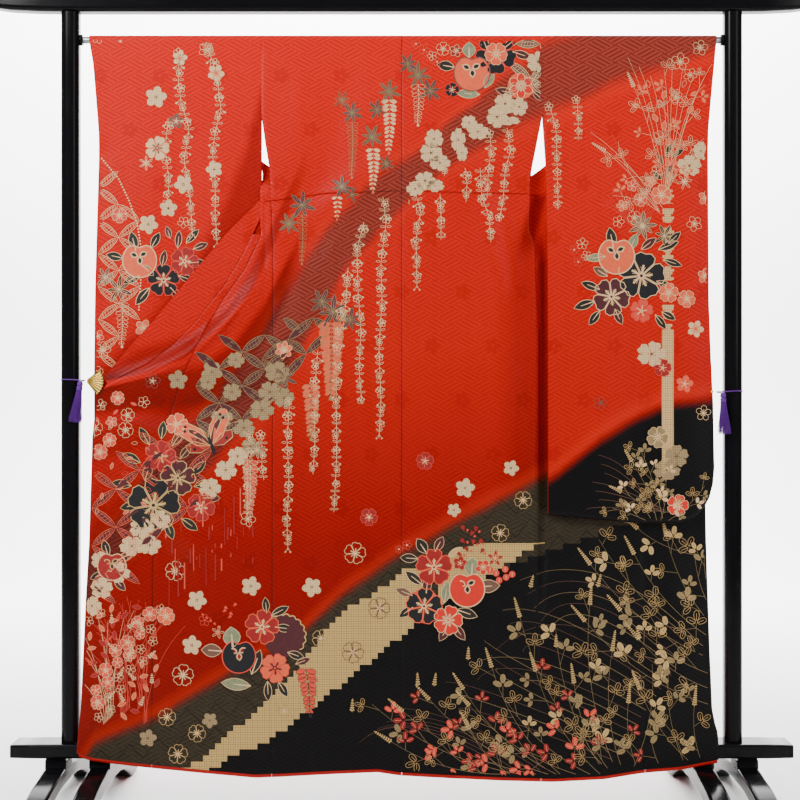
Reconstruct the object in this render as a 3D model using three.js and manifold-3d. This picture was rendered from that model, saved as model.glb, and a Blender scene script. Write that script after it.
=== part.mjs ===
// A furisode (long-sleeved kimono) spread on a lacquered kimono stand, seen from its back at -Y.
// Millimetres, +Z up, +X to the right of the back view. The origin is on the floor under the middle.
import * as THREE from "three";
import { mergeVertices } from "three/addons/utils/BufferGeometryUtils.js";
import Module from "manifold-3d";

const wasm = await Module();
wasm.setup();

// Driving sizes of the stand.
const rodRadius = 7.5;
const rodHeight = 1673;
const postCentre = 724;
const postWidth = 39.6;
const postDepth = 48;
const beam = { bottom: 1732, height: 36, depth: 44, halfLength: 915, endRise: 9 };
const rail = { bottom: 108, height: 31, depth: 88, halfLength: 849 };
const foot = { width: 46, reach: 330, pad: 66, tipHeight: 24, crown: 50, back: 86, centres: [655, 751] };
const socket = { radius: 12, length: 6 };
const seat = 0.3;

// Driving sizes of the cloth.
const wall = 2.2;
const rodClearance = 0.4;
const wrap = rodRadius + rodClearance + wall / 2;
const seam = 0.35;
const hemLean = 39.5;
const hemLevel = 84;
const rollHeight = 4.2;
const rollDepth = 3.4;
const rollGap = 1.5;
const sleeveHalfDepth = 7;

const materials = {
  silk: new THREE.MeshStandardMaterial({ color: 0xc8200f, roughness: 0.45, metalness: 0 }),
  lining: new THREE.MeshStandardMaterial({ color: 0xd8240f, roughness: 0.6, metalness: 0 }),
  lacquer: new THREE.MeshStandardMaterial({ color: 0x070708, roughness: 0.18, metalness: 0 }),
  steel: new THREE.MeshStandardMaterial({ color: 0x8d8f92, roughness: 0.35, metalness: 0.8 }),
  gilt: new THREE.MeshStandardMaterial({ color: 0xc7a24a, roughness: 0.35, metalness: 0.9 }),
  purple: new THREE.MeshStandardMaterial({ color: 0x4a1596, roughness: 0.6, metalness: 0 }),
};

const clamp = (value, low, high) => Math.min(high, Math.max(low, value));
const lerp = (a, b, t) => a + (b - a) * t;
const smooth = (a, b, value) => {
  const t = clamp((value - a) / (b - a), 0, 1);
  return t * t * (3 - 2 * t);
};

// The value in column `key` at place `at` in column `by`, along a table whose `by` rises.
function along(table, by, key, at) {
  if (at <= table[0][by]) return table[0][key];
  for (let i = 1; i < table.length; i++) {
    if (at > table[i][by]) continue;
    const t = (at - table[i - 1][by]) / (table[i][by] - table[i - 1][by]);
    return lerp(table[i - 1][key], table[i][key], t);
  }
  return table[table.length - 1][key];
}

// Outline tables: x of an edge at height z, from the hem up.
const sideSeamLeft = [
  { z: 60, x: -281 },
  { z: 1224, x: -281 },
  { z: 1257, x: -283 },
  { z: 1384, x: -287 },
  { z: 1443, x: -297 },
  { z: 1507, x: -305.8 },
  { z: 1690, x: -305.8 },
];
const sideSeamRight = [
  { z: 60, x: 301 },
  { z: 1038, x: 301 },
  { z: 1150, x: 294 },
  { z: 1233, x: 286 },
  { z: 1257, x: 277 },
  { z: 1367, x: 279 },
  { z: 1507, x: 306.8 },
  { z: 1690, x: 306.8 },
];
const overlapSeamLeft = [
  { z: 60, x: -540 },
  { z: 538, x: -540 },
  { z: 711, x: -534 },
  { z: 820, x: -514 },
  { z: 928, x: -481 },
  { z: 1041, x: -427 },
  { z: 1100, x: -392 },
  { z: 1172, x: -341 },
  { z: 1202, x: -327 },
  { z: 1250, x: -303 },
];
const freeEdgeLeft = [
  { z: 60, x: -704 },
  { z: 122, x: -700 },
  { z: 195, x: -694 },
  { z: 334, x: -689 },
  { z: 444, x: -685 },
  { z: 576, x: -678 },
  { z: 803, x: -672 },
  { z: 885, x: -664 },
  { z: 920, x: -640 },
  { z: 962, x: -558 },
  { z: 1007, x: -497 },
  { z: 1050, x: -454 },
  { z: 1137, x: -385 },
  { z: 1203, x: -347 },
  { z: 1246, x: -325 },
];
const overlapSeamRight = [
  { z: 60, x: 526 },
  { z: 700, x: 524 },
  { z: 900, x: 500 },
  { z: 1040, x: 404 },
];
const freeEdgeRight = [
  { z: 60, x: 684 },
  { z: 111, x: 685 },
  { z: 145, x: 683 },
  { z: 167, x: 677 },
  { z: 202, x: 671 },
  { z: 334, x: 667 },
  { z: 675, x: 663 },
  { z: 885, x: 668 },
  { z: 900, x: 650 },
  { z: 968, x: 522 },
  { z: 1040, x: 412 },
];
const hemLine = [
  { x: -704, z: 122 },
  { x: -669, z: 112 },
  { x: -581, z: 101 },
  { x: -459, z: 89 },
  { x: -317, z: 76 },
  { x: -263, z: 78 },
  { x: -151, z: 84 },
  { x: -52, z: 88 },
  { x: -4, z: 81 },
  { x: 106, z: 75 },
  { x: 217, z: 70 },
  { x: 327, z: 67 },
  { x: 437, z: 73 },
  { x: 519, z: 86 },
  { x: 602, z: 93 },
  { x: 684, z: 108 },
];
const tuckLine = [
  { x: -306, z: 1317 },
  { x: -271, z: 1321 },
  { x: -170, z: 1335 },
  { x: -4, z: 1341 },
  { x: 274, z: 1334 },
];
const hemAt = (x) => along(hemLine, "x", "z", x);

// Soft folds: each runs on an arc from (x1, z1) by (xm, zm) to (x2, z2), and lifts the cloth forward.
const folds = [
  { x1: -640, z1: 921, xm: -430, zm: 955, x2: -290, z2: 1170, width: 24, lift: 15 },
  { x1: -610, z1: 944, xm: -440, zm: 1000, x2: -345, z2: 1130, width: 20, lift: -6 },
  { x1: -640, z1: 905, xm: -470, zm: 720, x2: -295, z2: 800, width: 36, lift: 9 },
  { x1: -645, z1: 880, xm: -470, zm: 820, x2: -300, z2: 905, width: 30, lift: -5 },
  { x1: -650, z1: 860, xm: -520, zm: 540, x2: -330, z2: 560, width: 42, lift: 8 },
  { x1: -655, z1: 820, xm: -560, zm: 600, x2: -420, z2: 420, width: 30, lift: -4 },
  { x1: -124, z1: 1670, xm: -150, zm: 1330, x2: -310, z2: 1050, width: 46, lift: -5 },
  { x1: -272, z1: 1236, xm: -180, zm: 1290, x2: -20, z2: 1420, width: 32, lift: 6 },
  { x1: -276, z1: 1190, xm: -200, zm: 1110, x2: -150, z2: 900, width: 34, lift: 6 },
  { x1: 163, z1: 1400, xm: 190, zm: 1230, x2: 245, z2: 1060, width: 27, lift: -6 },
  { x1: 205, z1: 1380, xm: 228, zm: 1200, x2: 275, z2: 1000, width: 26, lift: 5 },
  { x1: 262, z1: 1150, xm: 275, zm: 950, x2: 290, z2: 700, width: 24, lift: -6 },
  { x1: -150, z1: 120, xm: -160, zm: 420, x2: -120, z2: 760, width: 60, lift: 5 },
  { x1: 60, z1: 90, xm: 70, zm: 380, x2: 40, z2: 700, width: 55, lift: 4 },
  { x1: 210, z1: 80, xm: 215, zm: 300, x2: 240, z2: 620, width: 48, lift: 5 },
  { x1: 420, z1: 90, xm: 410, zm: 330, x2: 380, z2: 620, width: 46, lift: 6 },
  { x1: 610, z1: 110, xm: 600, zm: 330, x2: 585, z2: 620, width: 40, lift: 6 },
  { x1: -420, z1: 100, xm: -430, zm: 260, x2: -400, z2: 480, width: 46, lift: 5 },
  { x1: -625, z1: 120, xm: -620, zm: 330, x2: -600, z2: 560, width: 34, lift: 5 },
];

// How far the folds lift the cloth forward at (x, z).
function foldLift(x, z) {
  const steps = 14;
  let lift = 0;
  for (const f of folds) {
    let nearest = Infinity;
    let place = 0;
    for (let i = 0; i <= steps; i++) {
      const t = i / steps;
      const s = 1 - t;
      const cx = s * s * f.x1 + 2 * s * t * f.xm + t * t * f.x2;
      const cz = s * s * f.z1 + 2 * s * t * f.zm + t * t * f.z2;
      const gap = Math.hypot(x - cx, z - cz);
      if (gap < nearest) {
        nearest = gap;
        place = t;
      }
    }
    const ends = Math.sin(Math.PI * clamp(place, 0.04, 0.96)) ** 0.6;
    lift += f.lift * ends * Math.exp(-((nearest / f.width) ** 2));
  }
  return lift;
}

// Depth of the spread body: it leans forward from the rod to pass in front of the rail.
function bodyDepth(x, z) {
  const fall = clamp((rodHeight - z) / (rodHeight - hemLevel), 0, 1);
  const lean = -wrap - hemLean * fall ** 1.3;
  const lift = foldLift(x, z) * smooth(rodHeight, rodHeight - 120, z);
  const nearRail = smooth(330, 170, z);
  const shown = lift > 0 ? lift * (1 - 0.5 * nearRail) : lift * (1 - nearRail);
  const tuck = z > along(tuckLine, "x", "z", x) && z < rodHeight ? 1.6 * smooth(rodHeight, 1500, z) : 0;
  return lean - shown - tuck;
}

// The opened right front falls back behind the sleeve that hangs over it.
const behindSleeve = 22;
function rightFrontDepth(x, z) {
  const sideways = smooth(288, 315, x);
  const height = smooth(260, 620, z);
  return bodyDepth(x, z) + behindSleeve * sideways * height;
}

// The right back bends to meet that front along the side seam, up to the armhole slit.
function rightBackDepth(x, z) {
  return lerp(rightFrontDepth(x, z), bodyDepth(x, z), smooth(1150, 1250, z));
}

// A closed mesh from points and faces given by index.
function meshOf(name, material, points, faces) {
  const geometry = new THREE.BufferGeometry();
  geometry.setAttribute("position", new THREE.Float32BufferAttribute(points.flat(), 3));
  geometry.setIndex(faces.flat());
  geometry.computeVertexNormals();
  const mesh = new THREE.Mesh(geometry, material);
  mesh.name = name;
  return mesh;
}

// Unit normals of a grid of points, from its neighbours on both sides.
function gridNormals(grid, closed) {
  const rows = grid.length;
  const columns = grid[0].length;
  return grid.map((row, i) =>
    row.map((_, j) => {
      const before = closed ? (i + rows - 1) % rows : Math.max(i - 1, 0);
      const after = closed ? (i + 1) % rows : Math.min(i + 1, rows - 1);
      const up = new THREE.Vector3(...grid[after][j]).sub(new THREE.Vector3(...grid[before][j]));
      const left = new THREE.Vector3(...grid[i][Math.max(j - 1, 0)]);
      const right = new THREE.Vector3(...grid[i][Math.min(j + 1, columns - 1)]);
      return right.sub(left).cross(up).normalize();
    }),
  );
}

// The forward normal of the surface y = depth(x, z), so that panels that meet at a seam share it.
function depthNormal(depth, x, z) {
  const step = 3;
  const alongX = (depth(x + step, z) - depth(x - step, z)) / (2 * step);
  const alongZ = (depth(x, z + step) - depth(x, z - step)) / (2 * step);
  return new THREE.Vector3(alongX, -1, alongZ).normalize();
}

// A wall of even thickness on both sides of a grid of points. Rows run up and columns run to +X.
// A closed wall's last row meets its first, as round a sleeve.
function clothWall(name, material, grid, thickness, { closed = false, normals = gridNormals(grid, closed) } = {}) {
  const rows = grid.length;
  const columns = grid[0].length;
  const points = [];
  for (const side of [1, -1])
    grid.forEach((row, i) =>
      row.forEach((p, j) => {
        const n = normals[i][j];
        const d = (side * thickness) / 2;
        points.push([p[0] + n.x * d, p[1] + n.y * d, p[2] + n.z * d]);
      }),
    );
  const front = (i, j) => (i % rows) * columns + j;
  const back = (i, j) => rows * columns + (i % rows) * columns + j;
  const faces = [];
  const quad = (a, b, c, d) => faces.push([a, b, c], [a, c, d]);
  const bands = closed ? rows : rows - 1;
  for (let i = 0; i < bands; i++) {
    for (let j = 0; j < columns - 1; j++) {
      quad(front(i, j), front(i, j + 1), front(i + 1, j + 1), front(i + 1, j));
      quad(back(i, j), back(i + 1, j), back(i + 1, j + 1), back(i, j + 1));
    }
    quad(front(i, 0), front(i + 1, 0), back(i + 1, 0), back(i, 0));
    const last = columns - 1;
    quad(front(i, last), back(i, last), back(i + 1, last), front(i + 1, last));
  }
  if (!closed)
    for (let j = 0; j < columns - 1; j++) {
      quad(front(0, j), back(0, j), back(0, j + 1), front(0, j + 1));
      const top = rows - 1;
      quad(front(top, j), front(top, j + 1), back(top, j + 1), back(top, j));
    }
  return meshOf(name, material, points, faces);
}

const spread = (count) => Array.from({ length: count + 1 }, (_, i) => i / count);

// Heights for a panel's rows: even steps, closer where a listed level is.
function heights(from, to, step, levels = []) {
  const count = Math.round((to - from) / step);
  const all = spread(count).map((t) => lerp(from, to, t));
  for (const level of levels) all.push(level);
  all.sort((a, b) => a - b);
  return all.filter((z, i) => i === 0 || z - all[i - 1] > 1.5);
}

// A panel that hangs between two edges, from its hem up. `left` and `right` give x at height z.
// `rise` lifts the rows' ends where the cloth slants up to the foot of an armhole slit.
function hangingPanel(name, material, { left, right, depth, rows, across, rise = () => 0 }) {
  const grid = rows.map((level) =>
    spread(across).map((u) => {
      const x = lerp(left(level), right(level), u);
      const drop = (hemAt(x) - hemLevel) * smooth(420, hemLevel, level);
      const z = level + drop + rise(x, level);
      return [x, depth(x, z), z];
    }),
  );
  const normals = grid.map((row) => row.map(([x, , z]) => depthNormal(depth, x, z)));
  return clothWall(name, material, grid, wall, { normals });
}

// A back half: from the hem up its outline, over the rod and a little down behind it.
function backHalf(name, left, right, depth, columns) {
  const rows = heights(hemLevel, rodHeight - 25, 62);
  const tuckRows = (x) => {
    const tuck = along(tuckLine, "x", "z", x);
    return [tuck - 3, tuck + 1.5];
  };
  const below = rows.filter((z) => z < 1295);
  const above = rows.filter((z) => z > 1365);
  const at = (u, level, exact) => {
    const x = lerp(left(level), right(level), u);
    const z = exact ?? level + (hemAt(x) - hemLevel) * smooth(420, hemLevel, level);
    return [x, depth(x, z), z];
  };
  const grid = below.map((level) => columns.map((u) => at(u, level)));
  for (const k of [0, 1])
    grid.push(
      columns.map((u) => {
        const x = lerp(left(1335), right(1335), u);
        return at(u, 1335, tuckRows(x)[k]);
      }),
    );
  for (const level of above) grid.push(columns.map((u) => at(u, level)));
  const normals = grid.map((row) => row.map(([x, , z]) => depthNormal(depth, x, z)));
  for (const turn of spread(6)) {
    const angle = Math.PI * turn;
    const outward = new THREE.Vector3(0, -Math.cos(angle), Math.sin(angle));
    normals.push(columns.map(() => outward));
    const y = -wrap * Math.cos(angle);
    const z = rodHeight + wrap * Math.sin(angle);
    grid.push(columns.map((u) => [lerp(left(1690), right(1690), u), y, z]));
  }
  const tail = rodHeight - 12;
  grid.push(columns.map((u) => [lerp(left(1690), right(1690), u), wrap, tail]));
  normals.push(columns.map(() => new THREE.Vector3(0, 1, 0)));
  return clothWall(name, materials.silk, grid, wall, { normals });
}

const half = seam / 2;
const edge = (table, shift) => (z) => along(table, "z", "x", z) + shift;
const backLeft = backHalf("back_left", edge(sideSeamLeft, half), () => -half, bodyDepth, spread(7));
const backColumns = [...spread(7).slice(0, -1), 0.955, 1];
const backRight = backHalf("back_right", () => half, edge(sideSeamRight, -half - 0.1), rightBackDepth, backColumns);

// Rows that neighbouring panels share, so that their edges match along the seam between them.
const leftRows = heights(hemLevel, 1246, 62, [711, 820, 885, 920, 940, 962, 984, 1007, 1050, 1100, 1137, 1172, 1202]);
const rightRows = heights(hemLevel, 1038, 62, [145, 700, 885, 900, 934, 968, 1004]);

// The fronts above the underarm hang behind the back, narrowing along the collar's line.
const upperDepth = wrap + 3.2;
const waistLow = 1340;
const waistHigh = 1380;
const frontLeftInner = [
  { z: 1225, x: -282 },
  { z: 1257, x: -284.4 },
  { z: 1345, x: -288.6 },
  { z: 1384, x: -262 },
  { z: 1500, x: -158 },
  { z: 1600, x: -96 },
  { z: 1665, x: -92 },
];
const frontLeftOuter = [
  { z: 1250, x: -303 },
  { z: 1265, x: -303 },
  { z: 1387, x: -303 },
  { z: 1394, x: -287.5 },
  { z: 1443, x: -296 },
  { z: 1507, x: -304.6 },
  { z: 1665, x: -304.6 },
];
function frontLeftDepth(x, z) {
  return lerp(bodyDepth(x, z), upperDepth, smooth(waistLow, waistHigh, z));
}
const frontLeft = hangingPanel("front_left", materials.silk, {
  left: (z) => (z < 1250 ? along(overlapSeamLeft, "z", "x", z) + half : along(frontLeftOuter, "z", "x", z)),
  right: (z) => (z < 1225 ? along(sideSeamLeft, "z", "x", z) - half : along(frontLeftInner, "z", "x", z)),
  depth: frontLeftDepth,
  rows: [...leftRows, 1262, 1300, 1340, 1353, 1367, 1378, 1387, 1394, 1443, 1507, 1580, 1660],
  across: 6,
  rise: (x, level) => Math.max(0, -286 - x) * smooth(1345, 1387, level) * smooth(1394, 1387, level),
});

const frontRightInner = [
  { z: 1233, x: 286 },
  { z: 1262, x: 279 },
  { z: 1300, x: 277 },
  { z: 1384, x: 246 },
  { z: 1500, x: 158 },
  { z: 1600, x: 96 },
  { z: 1665, x: 92 },
];
const frontRightOuter = [
  { z: 940, x: 574 },
  { z: 968, x: 522 },
  { z: 1040, x: 404 },
  { z: 1065, x: 380 },
  { z: 1150, x: 320 },
  { z: 1190, x: 316 },
  { z: 1262, x: 327 },
  { z: 1365, x: 327 },
  { z: 1372, x: 284 },
  { z: 1403, x: 285.5 },
  { z: 1455, x: 295.5 },
  { z: 1507, x: 305.6 },
  { z: 1665, x: 305.6 },
];
function frontRightDepth(x, z) {
  return lerp(rightFrontDepth(x, z), upperDepth, smooth(1175, 1262, z));
}
const frontRight = hangingPanel("front_right", materials.silk, {
  left: (z) => (z < 1230 ? along(sideSeamRight, "z", "x", z) + half : along(frontRightInner, "z", "x", z)),
  right: (z) => (z < 1040 ? along(overlapSeamRight, "z", "x", z) - half : along(frontRightOuter, "z", "x", z)),
  depth: frontRightDepth,
  rows: [...rightRows, 1065, 1105, 1150, 1190, 1220, 1240, 1262, 1325, 1345, 1365, 1372, 1403, 1455, 1507, 1580, 1660],
  across: 6,
  rise: (x, level) => Math.max(0, x - 283) * smooth(1300, 1365, level) * smooth(1372, 1365, level),
});

const okumiLeft = hangingPanel("okumi_left", materials.silk, {
  left: edge(freeEdgeLeft, half),
  right: edge(overlapSeamLeft, -half),
  depth: bodyDepth,
  rows: leftRows,
  across: 4,
});
const okumiRight = hangingPanel("okumi_right", materials.silk, {
  left: edge(overlapSeamRight, half),
  right: edge(freeEdgeRight, -half),
  depth: rightFrontDepth,
  rows: rightRows,
  across: 4,
});

// The collar band. Each row is a station with its lower, sewn edge (xs, zs) and its upper, folded edge (xe, ze).
const collarLeftRows = [
  { xs: -640.3, zs: 920.5, xe: -646, ze: 936 },
  { xs: -558.3, zs: 962.5, xe: -583, ze: 1012 },
  { xs: -497.4, zs: 1007.4, xe: -541, ze: 1057 },
  { xs: -454.4, zs: 1050.4, xe: -502, ze: 1105 },
  { xs: -385.5, zs: 1137.3, xe: -440, ze: 1180 },
  { xs: -347.5, zs: 1203.3, xe: -386, ze: 1244 },
  { xs: -325.5, zs: 1247, xe: -345, ze: 1286 },
  { xs: -312, zs: 1275, xe: -324, ze: 1307 },
  { xs: -303, zs: 1290, xe: -312, ze: 1320 },
  { xs: -294, zs: 1303, xe: -302, ze: 1330 },
  { xs: -285, zs: 1315, xe: -294, ze: 1341 },
  { xs: -272, zs: 1327, xe: -284, ze: 1354 },
  { xs: -236, zs: 1362, xe: -262, ze: 1396 },
  { xs: -150, zs: 1470, xe: -186, ze: 1510 },
  { xs: -92, zs: 1556, xe: -128, ze: 1590 },
  { xs: -52, zs: 1592, xe: -66, ze: 1646 },
  { xs: -0.2, zs: 1600, xe: -0.2, ze: 1656 },
];
const collarRightRows = [
  { xs: 650.3, zs: 900.5, xe: 662, ze: 926 },
  { xs: 600, zs: 927.3, xe: 622, ze: 982 },
  { xs: 522.3, zs: 968.6, xe: 556, ze: 1024 },
  { xs: 412.4, zs: 1040.6, xe: 452, ze: 1104 },
  { xs: 368, zs: 1084, xe: 412, ze: 1150 },
  { xs: 323, zs: 1151, xe: 364, ze: 1208 },
  { xs: 318, zs: 1184, xe: 352, ze: 1244 },
  { xs: 288, zs: 1232, xe: 330, ze: 1296 },
  { xs: 236, zs: 1320, xe: 272, ze: 1366 },
  { xs: 150, zs: 1470, xe: 186, ze: 1510 },
  { xs: 92, zs: 1556, xe: 128, ze: 1590 },
  { xs: 52, zs: 1592, xe: 66, ze: 1646 },
  { xs: 0.2, zs: 1600, xe: 0.2, ze: 1656 },
];
const collarBehind = upperDepth + 6.2;
const armholeChannel = -11.6;
// In front of the left sleeve the collar lies with the front; it slips through the armhole slit, under the
// front's edge, to the back of the neck.
function collarLeftDepth(x, z) {
  const shown = lerp(bodyDepth(x, z), armholeChannel, smooth(-345, -318, x));
  return lerp(shown, collarBehind, smooth(-303, -284, x));
}
function collarRightDepth(x, z) {
  return lerp(collarBehind, rightFrontDepth(x, z), smooth(345, 425, x));
}
function collarBand(name, stations, depth, fromLeft) {
  const columns = spread(stations.length * 2 - 2).map((t) => t * (stations.length - 1));
  const rows = spread(3);
  const at = (key, place) => {
    const i = Math.min(Math.floor(place), stations.length - 2);
    return lerp(stations[i][key], stations[i + 1][key], place - i);
  };
  const grid = rows.map((v) => {
    const row = columns.map((place) => {
      const x = lerp(at("xs", place), at("xe", place), v);
      const z = lerp(at("zs", place), at("ze", place), v);
      return [x, depth(x, z), z];
    });
    return fromLeft ? row : row.reverse();
  });
  return clothWall(name, materials.silk, grid, wall);
}
const collarLeft = collarBand("collar_left", collarLeftRows, collarLeftDepth, true);
const collarRight = collarBand("collar_right", collarRightRows, collarRightDepth, false);

// Sleeves: tubes folded over the rod, with an open cuff and an open inner edge.
const sleeveLeftOuter = [
  { z: 600, x: -673 },
  { z: 951, x: -673 },
  { z: 1125, x: -671 },
  { z: 1300, x: -666 },
  { z: 1398, x: -663 },
  { z: 1468, x: -662 },
  { z: 1619, x: -674 },
  { z: 1685, x: -685 },
];
const sleeveRightOuter = [
  { z: 600, x: 679 },
  { z: 730, x: 679 },
  { z: 885, x: 677 },
  { z: 972, x: 673 },
  { z: 1103, x: 669 },
  { z: 1473, x: 669 },
  { z: 1538, x: 675 },
  { z: 1685, x: 689 },
];
const sleeveLeftInner = [
  { z: 600, x: -306.5 },
  { z: 1690, x: -306.5 },
];
const sleeveRightInner = [
  { z: 600, x: 318 },
  { z: 1150, x: 318 },
  { z: 1400, x: 314.5 },
  { z: 1507, x: 307.5 },
  { z: 1690, x: 307.5 },
];
// The sleeve's bottom edge, by its distance in from the outer edge: a rounded outer corner.
const sleeveBottom = [
  { inward: 0, z: 742 },
  { inward: 3, z: 705 },
  { inward: 12, z: 672 },
  { inward: 26, z: 646 },
  { inward: 48, z: 627 },
  { inward: 90, z: 616 },
  { inward: 180, z: 618 },
  { inward: 290, z: 627 },
  { inward: 370, z: 635 },
];
const cuffBottom = 1452;
const sleeveFolds = {
  left: [{ at: -560, width: 45, lift: 2.5 }, { at: -400, width: 50, lift: 2 }],
  right: [{ at: 440, width: 50, lift: 3 }, { at: 590, width: 45, lift: 2.5 }],
};
function sleeve(name, inner, outer, swing, waves) {
  const stations = [0, 0.2, 0.45, 0.68, 0.86, 0.93, 0.968, 0.992, 1];
  const sign = Math.sign(swing.side);
  const bottomAt = (u) => {
    const width = Math.abs(outer[0].x - inner[0].x);
    return along(sleeveBottom, "inward", "z", (1 - u) * width);
  };
  // Half the depth between the walls: it closes at the sewn outer edge below the cuff.
  const gap = (u, z) => {
    const open = lerp(sleeveHalfDepth, wrap, smooth(1500, rodHeight, z));
    const sewn = smooth(0.99, 0.9, u);
    const closed = lerp(1.7, open, sewn);
    return lerp(closed, open, smooth(cuffBottom - 30, cuffBottom + 20, z));
  };
  const middle = (z) => -swing.forward * clamp((rodHeight - z) / 1050, 0, 1);
  const wave = (x, z) =>
    smooth(rodHeight - 60, 1300, z) *
    waves.reduce((sum, w) => sum + w.lift * Math.exp(-(((x - w.at) / w.width) ** 2)), 0);
  const place = (u, z, face) => {
    const x = lerp(along(inner, "z", "x", z), along(outer, "z", "x", z), u);
    return [x, middle(z) + face * gap(u, z) - wave(x, z), z];
  };
  const walls = spread(10).slice(1);
  const ring = (u) => {
    const low = bottomAt(u);
    const turn = gap(u, low + 10);
    const points = [];
    for (const t of [0, ...walls]) points.push(place(u, lerp(low + turn, rodHeight, t), -1));
    for (const t of spread(6).slice(1, -1)) {
      const angle = Math.PI * t;
      const [x] = place(u, rodHeight, 1);
      points.push([x, -wrap * Math.cos(angle), rodHeight + wrap * Math.sin(angle)]);
    }
    for (const t of [0, ...walls].reverse()) points.push(place(u, lerp(low + turn, rodHeight, t), 1));
    const [x, frontY] = points[0];
    const backY = points[points.length - 1][1];
    points.push([x, lerp(backY, frontY, 0.25), low + turn * 0.25]);
    points.push([x, lerp(backY, frontY, 0.75), low + turn * 0.25]);
    return points;
  };
  const rings = stations.map(ring);
  if (sign < 0) rings.reverse();
  const grid = rings[0].map((_, i) => rings.map((points) => points[i]));
  return clothWall(name, materials.silk, grid, wall, { closed: true });
}
const sleeveLeft = sleeve("sleeve_left", sleeveLeftInner, sleeveLeftOuter, { side: -1, forward: 0 }, sleeveFolds.left);
const sleeveRight = sleeve(
  "sleeve_right",
  sleeveRightInner,
  sleeveRightOuter,
  { side: 1, forward: 31 },
  sleeveFolds.right,
);

// The padded roll of lining that shows along the hem, one length to each panel.
function hemRoll(name, from, to, depth) {
  const count = Math.max(3, Math.round(Math.abs(to - from) / 45));
  const grid = [0, 1].map((v) =>
    spread(count).map((u) => {
      const x = lerp(from, to, u);
      const edgeZ = hemAt(x) - rollGap;
      return [x, depth(x, edgeZ) + 0.6, edgeZ - rollHeight * (1 - v)];
    }),
  );
  return clothWall(name, materials.lining, grid, rollDepth);
}
const hems = [
  hemRoll("hem_okumi_left", -698, -540.3, bodyDepth),
  hemRoll("hem_front_left", -539.7, -281.3, bodyDepth),
  hemRoll("hem_back_left", -280.7, -0.3, bodyDepth),
  hemRoll("hem_back_right", 0.3, 300.7, bodyDepth),
  hemRoll("hem_front_right", 301.3, 525.6, rightFrontDepth),
  hemRoll("hem_okumi_right", 526.3, 682, rightFrontDepth),
];

// The stand.
function roundedBox(name, material, width, depth, height, radius, centre) {
  const outline = new THREE.Shape();
  const w = width / 2;
  const d = depth / 2;
  outline.moveTo(-w + radius, -d);
  outline.lineTo(w - radius, -d);
  outline.absarc(w - radius, -d + radius, radius, -Math.PI / 2, 0, false);
  outline.absarc(w - radius, d - radius, radius, 0, Math.PI / 2, false);
  outline.absarc(-w + radius, d - radius, radius, Math.PI / 2, Math.PI, false);
  outline.absarc(-w + radius, -d + radius, radius, Math.PI, 1.5 * Math.PI, false);
  const geometry = new THREE.ExtrudeGeometry(outline, {
    depth: height,
    bevelEnabled: false,
    curveSegments: 5,
    steps: 1,
  });
  const mesh = new THREE.Mesh(geometry, material);
  mesh.name = name;
  mesh.position.set(centre[0], centre[1], centre[2]);
  return mesh;
}

function post(name, side) {
  const low = rail.bottom + rail.height + seat;
  const height = beam.bottom - seat - low;
  return roundedBox(name, materials.lacquer, postWidth, postDepth, height, 17, [side * postCentre, 0, low]);
}

// A bar along X with rounded long edges: the outline is its end, in depth and height.
function lengthwise(name, material, outline, halfLength, { steps, curveSegments }) {
  const geometry = new THREE.ExtrudeGeometry(outline, {
    depth: halfLength * 2,
    bevelEnabled: false,
    curveSegments,
    steps,
  });
  geometry.rotateX(Math.PI / 2);
  geometry.rotateZ(Math.PI / 2);
  geometry.translate(-halfLength, 0, 0);
  const mesh = new THREE.Mesh(geometry, material);
  mesh.name = name;
  return mesh;
}
function roundedEnd(depth, low, high, radius) {
  const d = depth / 2;
  const end = new THREE.Shape();
  end.moveTo(-d + radius, low);
  end.lineTo(d - radius, low);
  end.absarc(d - radius, low + radius, radius, -Math.PI / 2, 0, false);
  end.absarc(d - radius, high - radius, radius, 0, Math.PI / 2, false);
  end.absarc(-d + radius, high - radius, radius, Math.PI / 2, Math.PI, false);
  end.absarc(-d + radius, low + radius, radius, Math.PI, 1.5 * Math.PI, false);
  return end;
}

const baseRail = lengthwise(
  "base_rail",
  materials.lacquer,
  roundedEnd(rail.depth, rail.bottom, rail.bottom + rail.height, 5),
  rail.halfLength,
  { steps: 1, curveSegments: 3 },
);

function topBeam() {
  const mesh = lengthwise(
    "top_beam",
    materials.lacquer,
    roundedEnd(beam.depth, beam.bottom, beam.bottom + beam.height, 10),
    beam.halfLength,
    { steps: 12, curveSegments: 3 },
  );
  const place = mesh.geometry.attributes.position;
  const straight = 740;
  for (let i = 0; i < place.count; i++) {
    const past = Math.max(0, Math.abs(place.getX(i)) - straight) / (beam.halfLength - straight);
    place.setZ(i, place.getZ(i) + beam.endRise * past * past);
  }
  return mesh;
}

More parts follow.
